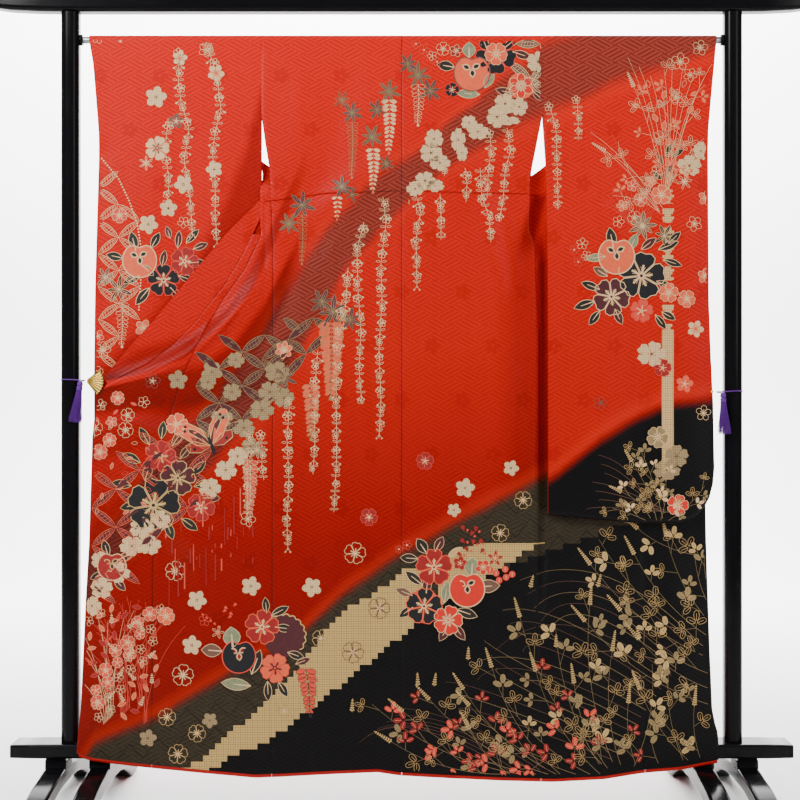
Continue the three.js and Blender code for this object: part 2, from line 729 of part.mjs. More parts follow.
// A foot: an arched bar that runs front to back under the rail.
function archFoot(name, x) {
  const top = rail.bottom - seat;
  const side = new THREE.Shape();
  side.moveTo(-foot.reach, 0);
  side.lineTo(-foot.reach + foot.pad, 0);
  side.quadraticCurveTo(-150, foot.crown, -40, foot.crown);
  side.lineTo(40, foot.crown);
  side.quadraticCurveTo(150, foot.crown, foot.reach - foot.pad, 0);
  side.lineTo(foot.reach, 0);
  side.lineTo(foot.reach + 2, foot.tipHeight);
  side.bezierCurveTo(240, 74, 150, 84, 62, foot.back);
  side.quadraticCurveTo(36, foot.back + 2, 32, top);
  side.lineTo(-32, top);
  side.quadraticCurveTo(-36, foot.back + 2, -62, foot.back);
  side.bezierCurveTo(-150, 84, -240, 74, -foot.reach - 2, foot.tipHeight);
  side.closePath();
  const bevel = 7;
  const geometry = new THREE.ExtrudeGeometry(side, {
    depth: foot.width - 2 * bevel,
    bevelEnabled: true,
    bevelThickness: bevel,
    bevelSize: bevel,
    bevelOffset: -bevel,
    bevelSegments: 2,
    curveSegments: 5,
    steps: 1,
  });
  geometry.rotateX(Math.PI / 2);
  geometry.rotateZ(Math.PI / 2);
  geometry.translate(x - foot.width / 2 + bevel, 0, 0);
  const mesh = new THREE.Mesh(geometry, materials.lacquer);
  mesh.name = name;
  return mesh;
}

function turned(name, material, profile, segments, axisX, centre) {
  const points = profile.map(([radius, height]) => new THREE.Vector2(radius, height));
  const geometry = new THREE.LatheGeometry(points, segments);
  if (axisX) geometry.rotateZ(-Math.PI / 2);
  else geometry.rotateX(Math.PI / 2);
  geometry.translate(...centre);
  const mesh = new THREE.Mesh(geometry, material);
  mesh.name = name;
  return mesh;
}

const postFace = postCentre - postWidth / 2;
function rod() {
  const end = postFace - seat;
  const profile = [
    [0, -end],
    [rodRadius, -end],
    [rodRadius, end],
    [0, end],
  ];
  return turned("hanging_rod", materials.steel, profile, 20, true, [0, 0, rodHeight]);
}
function rodSocket(name, side) {
  const bore = rodRadius + seat;
  const near = -socket.length / 2;
  const far = socket.length / 2;
  const profile = [
    [bore, near],
    [socket.radius, near],
    [socket.radius, far],
    [bore, far],
    [bore, near],
  ];
  const x = side * (postFace - seat - socket.length / 2);
  return turned(name, materials.lacquer, profile, 20, true, [x, 0, rodHeight]);
}

// A round cord through a closed ring of points.
function cordRing(name, material, places, radius) {
  const curve = new THREE.CatmullRomCurve3(places.map((p) => new THREE.Vector3(...p)), true);
  const steps = 24;
  const sides = 5;
  const points = [];
  const faces = [];
  for (let i = 0; i < steps; i++) {
    const centre = curve.getPointAt(i / steps);
    const ahead = curve.getTangentAt(i / steps);
    const up = new THREE.Vector3(0, 0, 1);
    const out = ahead.clone().cross(up).normalize();
    const over = out.clone().cross(ahead).normalize();
    for (let k = 0; k < sides; k++) {
      const angle = (2 * Math.PI * k) / sides;
      const p = centre
        .clone()
        .addScaledVector(out, radius * Math.cos(angle))
        .addScaledVector(over, radius * Math.sin(angle));
      points.push([p.x, p.y, p.z]);
    }
  }
  for (let i = 0; i < steps; i++)
    for (let k = 0; k < sides; k++) {
      const next = (i + 1) % steps;
      const a = i * sides + k;
      const b = i * sides + ((k + 1) % sides);
      const c = next * sides + ((k + 1) % sides);
      const d = next * sides + k;
      faces.push([a, c, b], [a, d, c]);
    }
  return meshOf(name, material, points, faces);
}

// The clips. `grip` is where each holds the cloth's edge; its cord runs from there, past the tassel, round the post.
const clips = {
  left: { side: -1, grip: [-686, -28.4, 927], tie: [-685.2, -29, 928], lean: -0.13 },
  right: { side: 1, grip: [674, -29.3, 903], tie: [679.4, -29.3, 903], lean: 0.04 },
};
const tasselPlace = { aside: 697, forward: 33.5 };
const cordRadius = 1.2;

function clipCord(name, clip) {
  const reach = postWidth / 2 + cordRadius + 0.35;
  const back = postDepth / 2 + cordRadius + 0.35;
  const x = clip.side * postCentre;
  const s = clip.side;
  const z = clip.tie[2];
  const places = [
    clip.tie,
    [s * tasselPlace.aside, -tasselPlace.forward, z],
    [x, -back - 1, z + 2],
    [x + s * (reach - 2), -back + 5, z + 2],
    [x + s * reach, 0, z + 1],
    [x + s * (reach - 2), back - 5, z],
    [x, back + 0.6, z],
    [x - s * (reach - 2), back - 5, z - 2],
    [x - s * (reach + 0.2), 0, z - 3],
    [x - s * (reach + 4), -back + 6, z - 3],
  ];
  return cordRing(name, materials.purple, places, cordRadius);
}

// The pleated fan of the left clip: a fan of folds round its pivot.
const fan = { radius: 38, inner: 3, from: 0.66, to: -0.92, pleats: 9, pleat: 1.1, thickness: 1.2 };
function fanClip(name, clip) {
  const [px, py, pz] = clip.grip;
  const grid = spread(2).map((v) => {
    const radius = lerp(fan.inner, fan.radius, v);
    return spread(fan.pleats * 2).map((u, i) => {
      const angle = Math.PI / 2 - lerp(fan.from, fan.to, u);
      const ridge = (i % 2 ? -1 : 1) * fan.pleat * (0.25 + 0.75 * v);
      return [px + radius * Math.sin(angle), py - 1.4 + ridge, pz + radius * Math.cos(angle)];
    });
  });
  return clothWall(name, materials.gilt, grid.reverse(), fan.thickness);
}

function solidOf(geometry) {
  const bare = geometry.clone();
  bare.deleteAttribute("normal");
  bare.deleteAttribute("uv");
  const merged = mergeVertices(bare, 1e-4);
  return new wasm.Manifold(
    new wasm.Mesh({
      numProp: 3,
      vertProperties: new Float32Array(merged.attributes.position.array),
      triVerts: new Uint32Array(merged.index.array),
    }),
  );
}
function geometryOf(solid) {
  const { numProp, vertProperties, triVerts } = solid.getMesh();
  const places = [];
  for (let i = 0; i < vertProperties.length; i += numProp)
    places.push(vertProperties[i], vertProperties[i + 1], vertProperties[i + 2]);
  const geometry = new THREE.BufferGeometry();
  geometry.setAttribute("position", new THREE.Float32BufferAttribute(places, 3));
  geometry.setIndex(Array.from(triVerts));
  geometry.computeVertexNormals();
  return geometry;
}

// A tassel: a bound head with a skirt of strands that stand apart below it.
const tasselSize = { headRadius: 7, headLength: 20, strands: 22, length: 74, flare: 6.5, strand: 1.1 };
function tassel(name, clip) {
  const { headRadius, headLength, strands, length, flare, strand } = tasselSize;
  const head = new THREE.LatheGeometry(
    [
      [0, -headLength],
      [headRadius, -headLength],
      [headRadius, -headLength + 5],
      [headRadius - 2.2, -headLength + 8],
      [headRadius - 0.6, -5],
      [headRadius - 3, -1],
      [0, 0],
    ].map(([radius, height]) => new THREE.Vector2(radius, height)),
    9,
  ).rotateX(Math.PI / 2);
  const pieces = [solidOf(head)];
  const golden = Math.PI * (3 - Math.sqrt(5));
  for (let i = 0; i < strands; i++) {
    const share = Math.sqrt((i + 0.5) / strands);
    const angle = i * golden;
    const root = (headRadius - 1.6) * share;
    const tip = (headRadius + flare) * share;
    const reach = length * (0.94 + 0.06 * Math.cos(3 * angle));
    const lock = new THREE.CylinderGeometry(strand, strand * 0.7, reach + 3, 3, 1).rotateX(Math.PI / 2);
    lock.translate(0, 0, -reach / 2 - headLength + 3);
    const place = lock.attributes.position;
    for (let k = 0; k < place.count; k++) {
      const fall = clamp((-headLength + 3 - place.getZ(k)) / reach, 0, 1);
      const spreadOut = lerp(root, tip, fall);
      place.setX(k, place.getX(k) + spreadOut * Math.cos(angle));
      place.setY(k, place.getY(k) + 0.6 * spreadOut * Math.sin(angle));
    }
    pieces.push(solidOf(lock));
  }
  const joined = pieces.reduce((sum, piece) => sum.add(piece));
  const mesh = new THREE.Mesh(geometryOf(joined), materials.purple);
  mesh.name = name;
  const under = clip.tie[2] - cordRadius - seam;
  mesh.position.set(clip.side * tasselPlace.aside, -tasselPlace.forward, under);
  mesh.rotation.y = -clip.lean;
  return mesh;
}

// The small jaw that grips the cloth's edge from both sides, seen beside the fan or the tassel.
function gripBead(name, clip) {
  const profile = [
    [0, -3.2],
    [2.6, -2.4],
    [3.4, 0],
    [2.6, 2.4],
    [0, 3.2],
  ];
  const [x, y, z] = clip.grip;
  return turned(name, materials.gilt, profile, 10, false, [x, y, z]);
}

const root = new THREE.Group();
root.name = "furisode_on_stand";
const garment = new THREE.Group();
garment.add(
  backLeft,
  backRight,
  frontLeft,
  frontRight,
  okumiLeft,
  okumiRight,
  collarLeft,
  collarRight,
  sleeveLeft,
  sleeveRight,
  ...hems,
);
const stand = new THREE.Group();
stand.add(
  topBeam(),
  post("post_left", -1),
  post("post_right", 1),
  baseRail,
  archFoot("foot_outer_left", -foot.centres[1]),
  archFoot("foot_inner_left", -foot.centres[0]),
  archFoot("foot_inner_right", foot.centres[0]),
  archFoot("foot_outer_right", foot.centres[1]),
  rod(),
  rodSocket("rod_socket_left", -1),
  rodSocket("rod_socket_right", 1),
);
const fastenings = new THREE.Group();
fastenings.add(
  fanClip("clip_fan_left", clips.left),
  clipCord("clip_cord_left", clips.left),
  clipCord("clip_cord_right", clips.right),
  tassel("tassel_left", clips.left),
  tassel("tassel_right", clips.right),
  gripBead("clip_bead_right", clips.right),
);
root.add(garment, stand, fastenings);

export default root;
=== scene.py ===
import bpy
import math
import numpy as np
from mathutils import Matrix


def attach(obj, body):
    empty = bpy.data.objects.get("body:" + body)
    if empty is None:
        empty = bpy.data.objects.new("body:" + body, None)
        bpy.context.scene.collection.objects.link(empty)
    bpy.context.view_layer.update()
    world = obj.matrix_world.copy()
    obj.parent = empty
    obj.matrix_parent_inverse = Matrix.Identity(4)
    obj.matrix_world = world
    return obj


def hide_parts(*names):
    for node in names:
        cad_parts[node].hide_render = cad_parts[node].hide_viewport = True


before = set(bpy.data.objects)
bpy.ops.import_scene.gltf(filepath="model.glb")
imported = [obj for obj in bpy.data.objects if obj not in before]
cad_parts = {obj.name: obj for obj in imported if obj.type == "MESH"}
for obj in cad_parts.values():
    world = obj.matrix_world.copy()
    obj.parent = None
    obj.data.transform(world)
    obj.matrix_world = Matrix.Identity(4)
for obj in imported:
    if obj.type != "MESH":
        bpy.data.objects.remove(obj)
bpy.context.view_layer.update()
mm = 0.001
print("frame loaded")

# shapes
def smooth(low, high, value):
    t = np.clip((value - low) / (high - low), 0, 1)
    return t * t * (3 - 2 * t)


def lerp(a, b, t):
    return a + (b - a) * t


def table(text):
    rows = sorted([float(v) for v in pair.split(":")] for pair in text.split())
    return np.array(rows).T


def numbers(text, columns):
    return np.array([float(v) for v in text.split()]).reshape(-1, columns)


def along(rows, at):
    return np.interp(at, rows[0], rows[1])


def deselect():
    if bpy.context.object and bpy.context.object.mode != "OBJECT":
        bpy.ops.object.mode_set(mode="OBJECT")
    bpy.ops.object.select_all(action="DESELECT")


def pick(obj):
    deselect()
    obj.select_set(True)
    bpy.context.view_layer.objects.active = obj


def editAll(obj, change, **settings):
    # Runs one edit mode command on the whole mesh.
    pick(obj)
    bpy.ops.object.mode_set(mode="EDIT")
    bpy.ops.mesh.select_all(action="SELECT")
    change(**settings)
    bpy.ops.object.mode_set(mode="OBJECT")


def places(obj):
    co = np.zeros(len(obj.data.vertices) * 3)
    obj.data.vertices.foreach_get("co", co)
    return co.reshape(-1, 3)


def moveTo(obj, points):
    obj.data.vertices.foreach_set("co", (np.asarray(points) * mm).ravel())
    obj.data.update()


def applyModifier(obj, kind, **settings):
    made = obj.modifiers.new(kind.title(), kind)
    for key, value in settings.items():
        setattr(made, key, value)
    pick(obj)
    bpy.ops.object.modifier_apply(modifier=made.name)


def joinedMesh(name, points, faces):
    mesh = bpy.data.meshes.new(name)
    mesh.from_pydata(points * mm, [], faces)
    obj = bpy.data.objects.new(name, mesh)
    bpy.context.collection.objects.link(obj)
    return obj


def finishPiece(obj, name, nodes, mats, angle=40):
    obj.name = name
    obj.data.name = name
    obj.data.materials.clear()
    for mat in mats:
        obj.data.materials.append(mat)
    pick(obj)
    bpy.ops.object.shade_smooth_by_angle(angle=math.radians(angle))
    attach(obj, "root")
    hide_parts(*nodes)
    return obj


# shader wrapper
class Val:
    def __init__(self, tree, out):
        self.tree = tree
        self.out = out

    def node(self, kind, settings=None, inputs=None, pick=0):
        made = self.tree.nodes.new(kind)
        for key, value in (settings or {}).items():
            setattr(made, key, value)
        for key, value in (inputs or {}).items():
            if isinstance(value, Val):
                self.tree.links.new(value.out, made.inputs[key])
            else:
                made.inputs[key].default_value = value
        return Val(self.tree, made.outputs[pick])

    def math(self, kind, *rest):
        return self.node("ShaderNodeMath", {"operation": kind}, dict(enumerate((self,) + rest)))

    def __rsub__(self, other):
        return (self * -1.0) + other

    def soft(self, low, high):
        return self.node("ShaderNodeMapRange", {"interpolation_type": "SMOOTHSTEP"},
                         {0: self, 1: low, 2: high, 3: 0.0, 4: 1.0})


def mathMethod(kind):
    return lambda self, *rest: self.math(kind, *rest)


for word, kind in dict(__add__="ADD", __radd__="ADD", __sub__="SUBTRACT", __mul__="MULTIPLY",
                       __rmul__="MULTIPLY", __truediv__="DIVIDE", above="GREATER_THAN", most="MAXIMUM",
                       least="MINIMUM", part="FRACT", whole="FLOOR", size="ABSOLUTE").items():
    setattr(Val, word, mathMethod(kind))


def lineOf(x, points):
    # z of a bent line at x, from its corner points.
    (x0, z0), (x1, z1) = points[:2]
    slope = (z1 - z0) / (x1 - x0)
    value = (x - x0) * slope + z0
    for (xa, za), (xb, zb) in zip(points[1:], points[2:]):
        turn = (zb - za) / (xb - xa)
        value = value + (x - xa).most(0.0) * (turn - slope)
        slope = turn
    return value


def blend(base, top, share):
    # Colour `top` over `base`, by `share`.
    made = share.tree.nodes.new("ShaderNodeMix")
    made.data_type = "RGBA"
    for place, value in ((0, share), (6, base), (7, top)):
        if isinstance(value, Val):
            share.tree.links.new(value.out, made.inputs[place])
        else:
            made.inputs[place].default_value = value
    return Val(share.tree, made.outputs[2])


def ink(red, green, blue):
    # A colour given as the eye reads it, 0 to 255, in linear light.
    parts = [c / 255 for c in (red, green, blue)]
    return tuple(c / 12.92 if c <= 0.04045 else ((c + 0.055) / 1.055) ** 2.4 for c in parts) + (1.0,)


def newMaterial(name, **values):
    made = bpy.data.materials.new(name)
    made.use_nodes = True
    shader = made.node_tree.nodes["Principled BSDF"]
    for key, value in values.items():
        shader.inputs[key.replace("_", " ")].default_value = value
    return made, made.node_tree, shader


def paint(tree, shader, colour, rough=None):
    tree.links.new(colour.out, shader.inputs["Base Color"])
    if rough:
        tree.links.new(rough.out, shader.inputs["Roughness"])


def coordinates(tree):
    # The object's own place, and x, y and z in millimetres.
    where = tree.nodes.new("ShaderNodeTexCoord")
    split = tree.nodes.new("ShaderNodeSeparateXYZ")
    tree.links.new(where.outputs["Object"], split.inputs[0])
    point = Val(tree, where.outputs["Object"])
    x, y, z = (Val(tree, split.outputs[i]) * 1000.0 for i in range(3))
    return point, x, y, z


def noiseOf(point, scale, detail=2.0, rough=0.5):
    return point.node("ShaderNodeTexNoise", None,
                      {"Vector": point, "Scale": scale, "Detail": detail, "Roughness": rough})


# the view
photo = dict(pixel=2.19, distance=3600.0, height=885.0, middle=401.7, level=400.0, rodRow=40, reach=730)


def toCloth(columns, rows):
    # Millimetres across and up of places of the view; the cloth leans nearer further down.
    drop = np.clip((rows - photo["rodRow"]) / photo["reach"], 0, 1)
    near = ((photo["distance"] - cloth["wrap"] - cloth["lean"] * drop ** 1.3)
            / photo["distance"] * photo["pixel"])
    return (columns - photo["middle"]) * near, photo["height"] - (rows - photo["level"]) * near


def spot(column, row):
    x, z = toCloth(column, row)
    return float(x), float(z)


def spots(*places):
    return [spot(*place) for place in places]


bpy.ops.object.camera_add(location=(-0.0037, -photo["distance"] * mm, photo["height"] * mm),
                          rotation=(math.pi / 2, 0, 0))
camera = bpy.context.object
bpy.context.scene.camera = camera
camera.name = "camera"
camera.data.lens = 73.97
camera.data.sensor_width = 36
print("camera set")

# the cloth's form
rowStep = 9.0
cloth = dict(thick=2.0, wrap=9.0, rod=1673.0, hem=84.0, lean=39.5, behind=22.0, upper=12.2, collar=18.4)
sideLeft = table("60:-281 1224:-281 1257:-283 1384:-287 1443:-297 1507:-305.8 1690:-305.8")
sideRight = table("60:301 1038:301 1150:294 1233:286 1257:277 1367:279 1507:306.8 1690:306.8")
seamLeft = table("60:-540 538:-540 711:-534 820:-514 928:-481 1041:-427 1100:-392 1172:-341 1202:-327 "
                 "1250:-303")
freeLeft = table("60:-704 122:-700 195:-694 334:-689 444:-685 576:-678 803:-672 885:-664 920:-640 962:-558 "
                 "1007:-497 1050:-454 1137:-385 1203:-347 1246:-325")
seamRight = table("60:526 700:524 900:500 1040:404")
freeRight = table("60:684 111:685 145:683 167:677 202:671 334:667 675:663 885:668 900:650 968:522 1040:412")
hemTable = table("-704:122 -669:112 -581:101 -459:89 -317:76 -263:78 -151:84 -52:88 -4:81 106:75 217:70 "
                 "327:67 437:73 519:86 602:93 684:108")
tuckTable = table("-306:1317 -271:1321 -170:1335 -4:1341 274:1334")
innerLeft = table("1225:-281 1257:-283 1345:-285.8 1360:-279 1384:-262 1500:-158 1600:-96 1665:-92")
outerLeft = table("1250:-303 1262:-308 1352:-308.5 1356:-305.4 1372:-305.4 1377:-308.5 1387:-308.5 "
                  "1394:-287.5 1443:-296 1507:-304.6 1665:-304.6")
innerRight = table("1233:286 1262:279 1300:277 1384:246 1500:158 1600:96 1665:92")
outerRight = table("940:574 968:522 1040:404 1065:380 1150:329 1190:328 1262:329 1365:327 1372:284 "
                   "1403:285.5 1455:295.5 1507:305.6 1665:305.6")

# Each crease runs on an arc from its first point by the middle one to the last: x z, x z, x z, width, lift.
creases = numbers("""
-640 921 -430 955 -290 1170 24 15
-610 944 -440 1000 -345 1130 20 -6
-640 905 -470 720 -295 800 36 9
-645 880 -470 820 -300 905 30 -5
-650 860 -520 540 -330 560 42 8
-655 820 -560 600 -420 420 30 -4
-124 1670 -150 1330 -310 1050 46 -5
-272 1236 -180 1290 -20 1420 32 6
-276 1190 -200 1110 -150 900 34 6
163 1400 190 1230 245 1060 27 -6
205 1380 228 1200 275 1000 26 5
262 1150 275 950 290 700 24 -6
-150 120 -160 420 -120 760 60 5
60 90 70 380 40 700 55 4
210 80 215 300 240 620 48 5
420 90 410 330 380 620 46 6
610 110 600 330 585 620 40 6
-420 100 -430 260 -400 480 46 5
-625 120 -620 330 -600 560 34 5
""", 8)
# Smaller ones that only the cloth's surface shows.
fineCreases = numbers("""
-600 900 -500 905 -380 960 9 1.6
-590 880 -500 850 -360 850 10 1.8
-610 870 -530 790 -420 730 9 1.5
-625 850 -570 740 -500 640 8 1.4
-560 930 -450 960 -350 1040 8 -1.6
-300 1330 -296 1200 -300 1050 7 -1.5
-270 1250 -262 1180 -270 1090 8 1.7
-240 1400 -180 1360 -100 1345 9 -1.4
-95 1330 -130 1240 -190 1150 10 1.7
-60 1320 -90 1200 -160 1060 12 1.5
-20 1310 -30 1180 -70 1020 12 -1.4
100 1330 130 1240 150 1130 11 1.4
240 1330 246 1250 262 1180 8 -1.8
262 1240 240 1160 232 1060 8 1.5
-230 1600 -215 1500 -240 1420 12 1.2
180 1650 170 1560 190 1450 14 1.1
-270 1010 -200 980 -140 870 12 1.3
-470 620 -440 500 -450 380 14 1.5
-600 520 -590 400 -600 280 11 1.4
-350 420 -360 300 -340 190 15 1.3
-230 600 -210 420 -220 220 18 1.4
140 560 150 400 140 200 18 1.3
330 520 320 360 330 160 14 1.6
500 520 505 380 490 180 13 1.5
640 420 636 330 640 200 9 1.5
-300 1300 -240 1300 -180 1318 7 1.3
60 1325 110 1300 180 1316 7 1.2
""", 8)


def lifts(rows, x, z):
    # How far the listed creases lift the cloth forward at each point.
    total = np.zeros(np.shape(x))
    t = np.linspace(0, 1, 15)
    for x1, z1, xm, zm, x2, z2, width, lift in rows:
        cx = (1 - t) ** 2 * x1 + 2 * (1 - t) * t * xm + t * t * x2
        cz = (1 - t) ** 2 * z1 + 2 * (1 - t) * t * zm + t * t * z2
        ax, az, dx, dz = cx[:-1], cz[:-1], np.diff(cx), np.diff(cz)
        px, pz = x[..., None] - ax, z[..., None] - az
        share = np.clip((px * dx + pz * dz) / (dx * dx + dz * dz), 0, 1)
        gap = np.hypot(px - share * dx, pz - share * dz)
        best = gap.argmin(-1)
        nearest = np.take_along_axis(gap, best[..., None], -1)[..., 0]
        place = (best + np.take_along_axis(share, best[..., None], -1)[..., 0]) / 14
        ends = np.sin(np.pi * np.clip(place, 0.04, 0.96)) ** 0.6
        total += lift * ends * np.exp(-((nearest / width) ** 2))
    return total


def bodyDepth(x, z):
    x, z = np.broadcast_arrays(np.asarray(x, float), np.asarray(z, float))
    # It leans forward down to the hem, with the creases, less near the rail, and a step over the tuck.
    fall = np.clip((cloth["rod"] - z) / (cloth["rod"] - cloth["hem"]), 0, 1)
    lean = -cloth["wrap"] - cloth["lean"] * fall ** 1.3
    fromRod = smooth(cloth["rod"], cloth["rod"] - 120, z)
    lift = lifts(creases, x, z) * fromRod
    nearRail = smooth(330, 170, z)
    shown = np.where(lift > 0, lift * (1 - 0.5 * nearRail), lift * (1 - nearRail))
    shown = shown + np.maximum(lifts(fineCreases, x, z) * fromRod, -1.5 * (1 - nearRail))
    tuck = along(tuckTable, x)
    overTuck = np.clip((z - tuck + 1.5) / 4, 0, 1) * (z < cloth["rod"])
    return lean - shown - overTuck * 1.6 * smooth(cloth["rod"], 1500, z)


def rightDepth(x, z):
    return bodyDepth(x, z) + cloth["behind"] * smooth(288, 315, x) * smooth(260, 620, z)


def rightBackDepth(x, z):
    # The right back meets the front at the side seam, and lies free of it above.
    return lerp(rightDepth(x, z), bodyDepth(x, z), smooth(1150, 1250, z))


def leftFrontDepth(x, z):
    return lerp(bodyDepth(x, z), cloth["upper"], smooth(1340, 1380, z))


def rightFrontDepth(x, z):
    return lerp(rightDepth(x, z), cloth["upper"], smooth(1175, 1262, z))


def newGrid(columns, rows):
    # A flat grid, one unit each way, ready to be shaped; its points' places across and up.
    deselect()
    bpy.ops.mesh.primitive_grid_add(x_subdivisions=columns, y_subdivisions=rows, size=1)
    obj = bpy.context.object
    co = places(obj)
    return obj, co[:, 0] + 0.5, co[:, 1] + 0.5


def evenSteps(levels, step):
    # Heights from the lowest to the highest level, with each level among them.
    out = [levels[0]]
    for low, high in zip(levels, levels[1:]):
        count = max(1, round((high - low) / step))
        out += [low + (high - low) * (i + 1) / count for i in range(count)]
    return np.array(out)


def nearEdges(u, columns, width):
    # Columns of a panel: evenly spaced, and close together beside its two seams.
    close = np.array([0, 1.6, 3.6, 7.0]) / width
    middle = np.linspace(close[-1], 1 - close[-1], columns - 5)
    stops = np.concatenate([close, middle[1:-1], 1 - close[::-1]])
    return stops[np.round(u * columns).astype(int)]


def seamDip(x, left, right, deep=1.2, wide=2.4):
    # How far the cloth sinks at a panel's two seams.
    return deep * (np.exp(-(((x - left) / wide) ** 2)) + np.exp(-(((right - x) / wide) ** 2)))


def turnOver(obj, zLow):
    # The inner side shows lining below zLow and silk above it.
    for face in obj.data.polygons:
        if face.material_index == 1 and face.center.z > zLow * mm:
            face.material_index = 0


def makeCloth(name, x, y, z, obj, node, mats, closed=False, silkAbove=None):
    moveTo(obj, np.stack([x, y, z], 1))
    finishPiece(obj, name, [node], mats, 60)
    if closed:
        editAll(obj, bpy.ops.mesh.remove_doubles, threshold=0.00005)
    applyModifier(obj, "SOLIDIFY", thickness=cloth["thick"] * mm, offset=0, material_offset=1,
                  use_even_offset=False)
    if silkAbove:
        turnOver(obj, silkAbove)
    pick(obj)
    bpy.ops.object.shade_smooth_by_angle(angle=math.radians(50))
    return obj


def hemmed(x, level):
    # The level moved by the hem's line, from mid-thigh down.
    return level + (along(hemTable, x) - cloth["hem"]) * smooth(420, cloth["hem"], level)


def hangingPanel(name, node, left, right, depth, levels, rise=None, silkAbove=None,
                 widest=260):
    heights = evenSteps(levels, rowStep)
    columns = max(3, round(widest / rowStep))
    obj, u, v = newGrid(columns, len(heights) - 1)
    level = np.interp(v, np.linspace(0, 1, len(heights)), heights)
    u = nearEdges(u, columns, widest)
    x = lerp(left(level), right(level), u)
    z = hemmed(x, level)
    if rise:
        z = z + rise(x, level)
    y = depth(x, z) + seamDip(x, left(level), right(level))
    return makeCloth(name, x, y, z, obj, node, [silk, lining], silkAbove=silkAbove)


def backHalf(name, node, left, right, depth):
    # Rows of points up to the tuck, across it, on to the rod, over the rod and a little way down behind.
    columns, widest, tuckLevel = 34, 300, 1335.0
    low = evenSteps([cloth["hem"], 1295.0], rowStep)
    high = evenSteps([1365.0, cloth["rod"]], rowStep)
    around = np.array([-26, -17, -9, -4, -1.4, 0.2, 1.6, 3, 7, 13, 19, 25.0])
    turns = np.linspace(0, 1, 13)[1:]
    tailRows, tailStep = 2, 6.0
    total = len(low) + len(around) + len(high) + len(turns) + tailRows
    obj, u, v = newGrid(columns, total - 1)
    row = np.round(v * (total - 1)).astype(int)
    firstHigh = len(low) + len(around)
    firstTurn = firstHigh + len(high)
    firstTail = firstTurn + len(turns)
    level = np.where(row < len(low), low[np.minimum(row, len(low) - 1)],
                     np.where(row < firstHigh, tuckLevel, high[np.clip(row - firstHigh, 0, len(high) - 1)]))
    u = nearEdges(u, columns, widest)
    x = lerp(left(level), right(level), u)
    inTuck = (row >= len(low)) & (row < firstHigh)
    z = np.where(inTuck, along(tuckTable, x) + around[np.clip(row - len(low), 0, len(around) - 1)],
                 hemmed(x, level))
    y = depth(x, z) + seamDip(x, left(level), right(level)) * smooth(cloth["rod"], cloth["rod"] - 40, z)
    angle = np.pi * turns[np.clip(row - firstTurn, 0, len(turns) - 1)]
    y = np.where(row >= firstTurn, -cloth["wrap"] * np.cos(angle), y)
    z = np.where(row >= firstTurn, cloth["rod"] + cloth["wrap"] * np.sin(angle), z)
    z = np.where(row >= firstTail, cloth["rod"] - tailStep * (row - firstTail + 1), z)
    return makeCloth(name, x, y, z, obj, node, [silk, lining])


def edge(rows, shift=0.0):
    return lambda level: along(rows, level) + shift


# silk and lining
# shade: the dark red that the painted shade of foldShade blends towards
red = dict(light=(0.66, 0.006, 0.0008, 1), dark=(0.50, 0.003, 0.0006, 1), glow=(0.74, 0.028, 0.004, 1),
           shade=(0.016, 0.0004, 0.0002, 1))
blackInks = ink(5, 4, 4), ink(17, 15, 15)


def fretOf(x, z, pitch=9.0):
    # Bars of a key fret that change direction from block to block, sloping 28 degrees both ways.
    rise = math.tan(math.radians(28))
    block = pitch * 4
    p = (x * rise + z) / (block * 1.06)
    q = (x * rise - z) / (block * 1.06)
    pf, qf = p.part(), q.part()
    turn = ((p.whole() + q.whole()) * 0.5).part().above(0.25)
    across = pf * turn + qf * (1.0 - turn)
    other = qf * turn + pf * (1.0 - turn)
    bars = ((across * 4.0).part() - 0.5).size().soft(0.32, 0.22)
    hook = (other - 0.5).size().soft(0.40, 0.44) * (across - 0.5).size().soft(0.48, 0.40)
    gap = (other - 0.5).size().soft(0.47, 0.49)
    return bars.most(hook) * (1.0 - gap)


def clothBump(tree, shader, height, strength, distance=0.0006):
    bump = tree.nodes.new("ShaderNodeBump")
    bump.inputs["Strength"].default_value = strength
    bump.inputs["Distance"].default_value = distance
    tree.links.new(height.out, bump.inputs["Height"])
    tree.links.new(bump.outputs["Normal"], shader.inputs["Normal"])


def paleFlowers(x, z):
    # Tone-in-tone flowers of five petals, one to a cell of the weave's large repeat.
    wide, tall = 132.0, 118.0
    row = ((z / tall).whole() * 0.5).part()
    u = ((x / wide + row).part() - 0.5) * wide
    v = ((z / tall).part() - 0.5) * tall
    far = (u * u + v * v + 0.01).math("SQRT")
    turn = v.math("ARCTAN2", u)
    petal = (turn * 2.5).math("COSINE").size() * 9.0 + 10.0
    return (petal - far).soft(0.0, 1.5) * far.soft(3.0, 4.2)


def pairs(rows):
    return [(float(a), float(b)) for a, b in rows.T]


def seamsOf(x, z):
    # Thin dark lines where the panels are sewn, and along the tuck.
    far = 50.0
    total = x.size()
    for rows, low, high in ((sideLeft, 100.0, 1320.0), (sideRight, 80.0, 1040.0), (seamLeft, 100.0, 1240.0),
                            (seamRight, 80.0, 1030.0)):
        off = (x - lineOf(z, pairs(rows))).size()
        within = (z - low).above(0.0) * (high - z).above(0.0)
        total = total.least(off + (1.0 - within) * far)
    tuck = (z - lineOf(x, pairs(tuckTable))).size() + (x.size() - 300.0).above(0.0) * far
    return total.least(tuck).soft(1.7, 0.5)


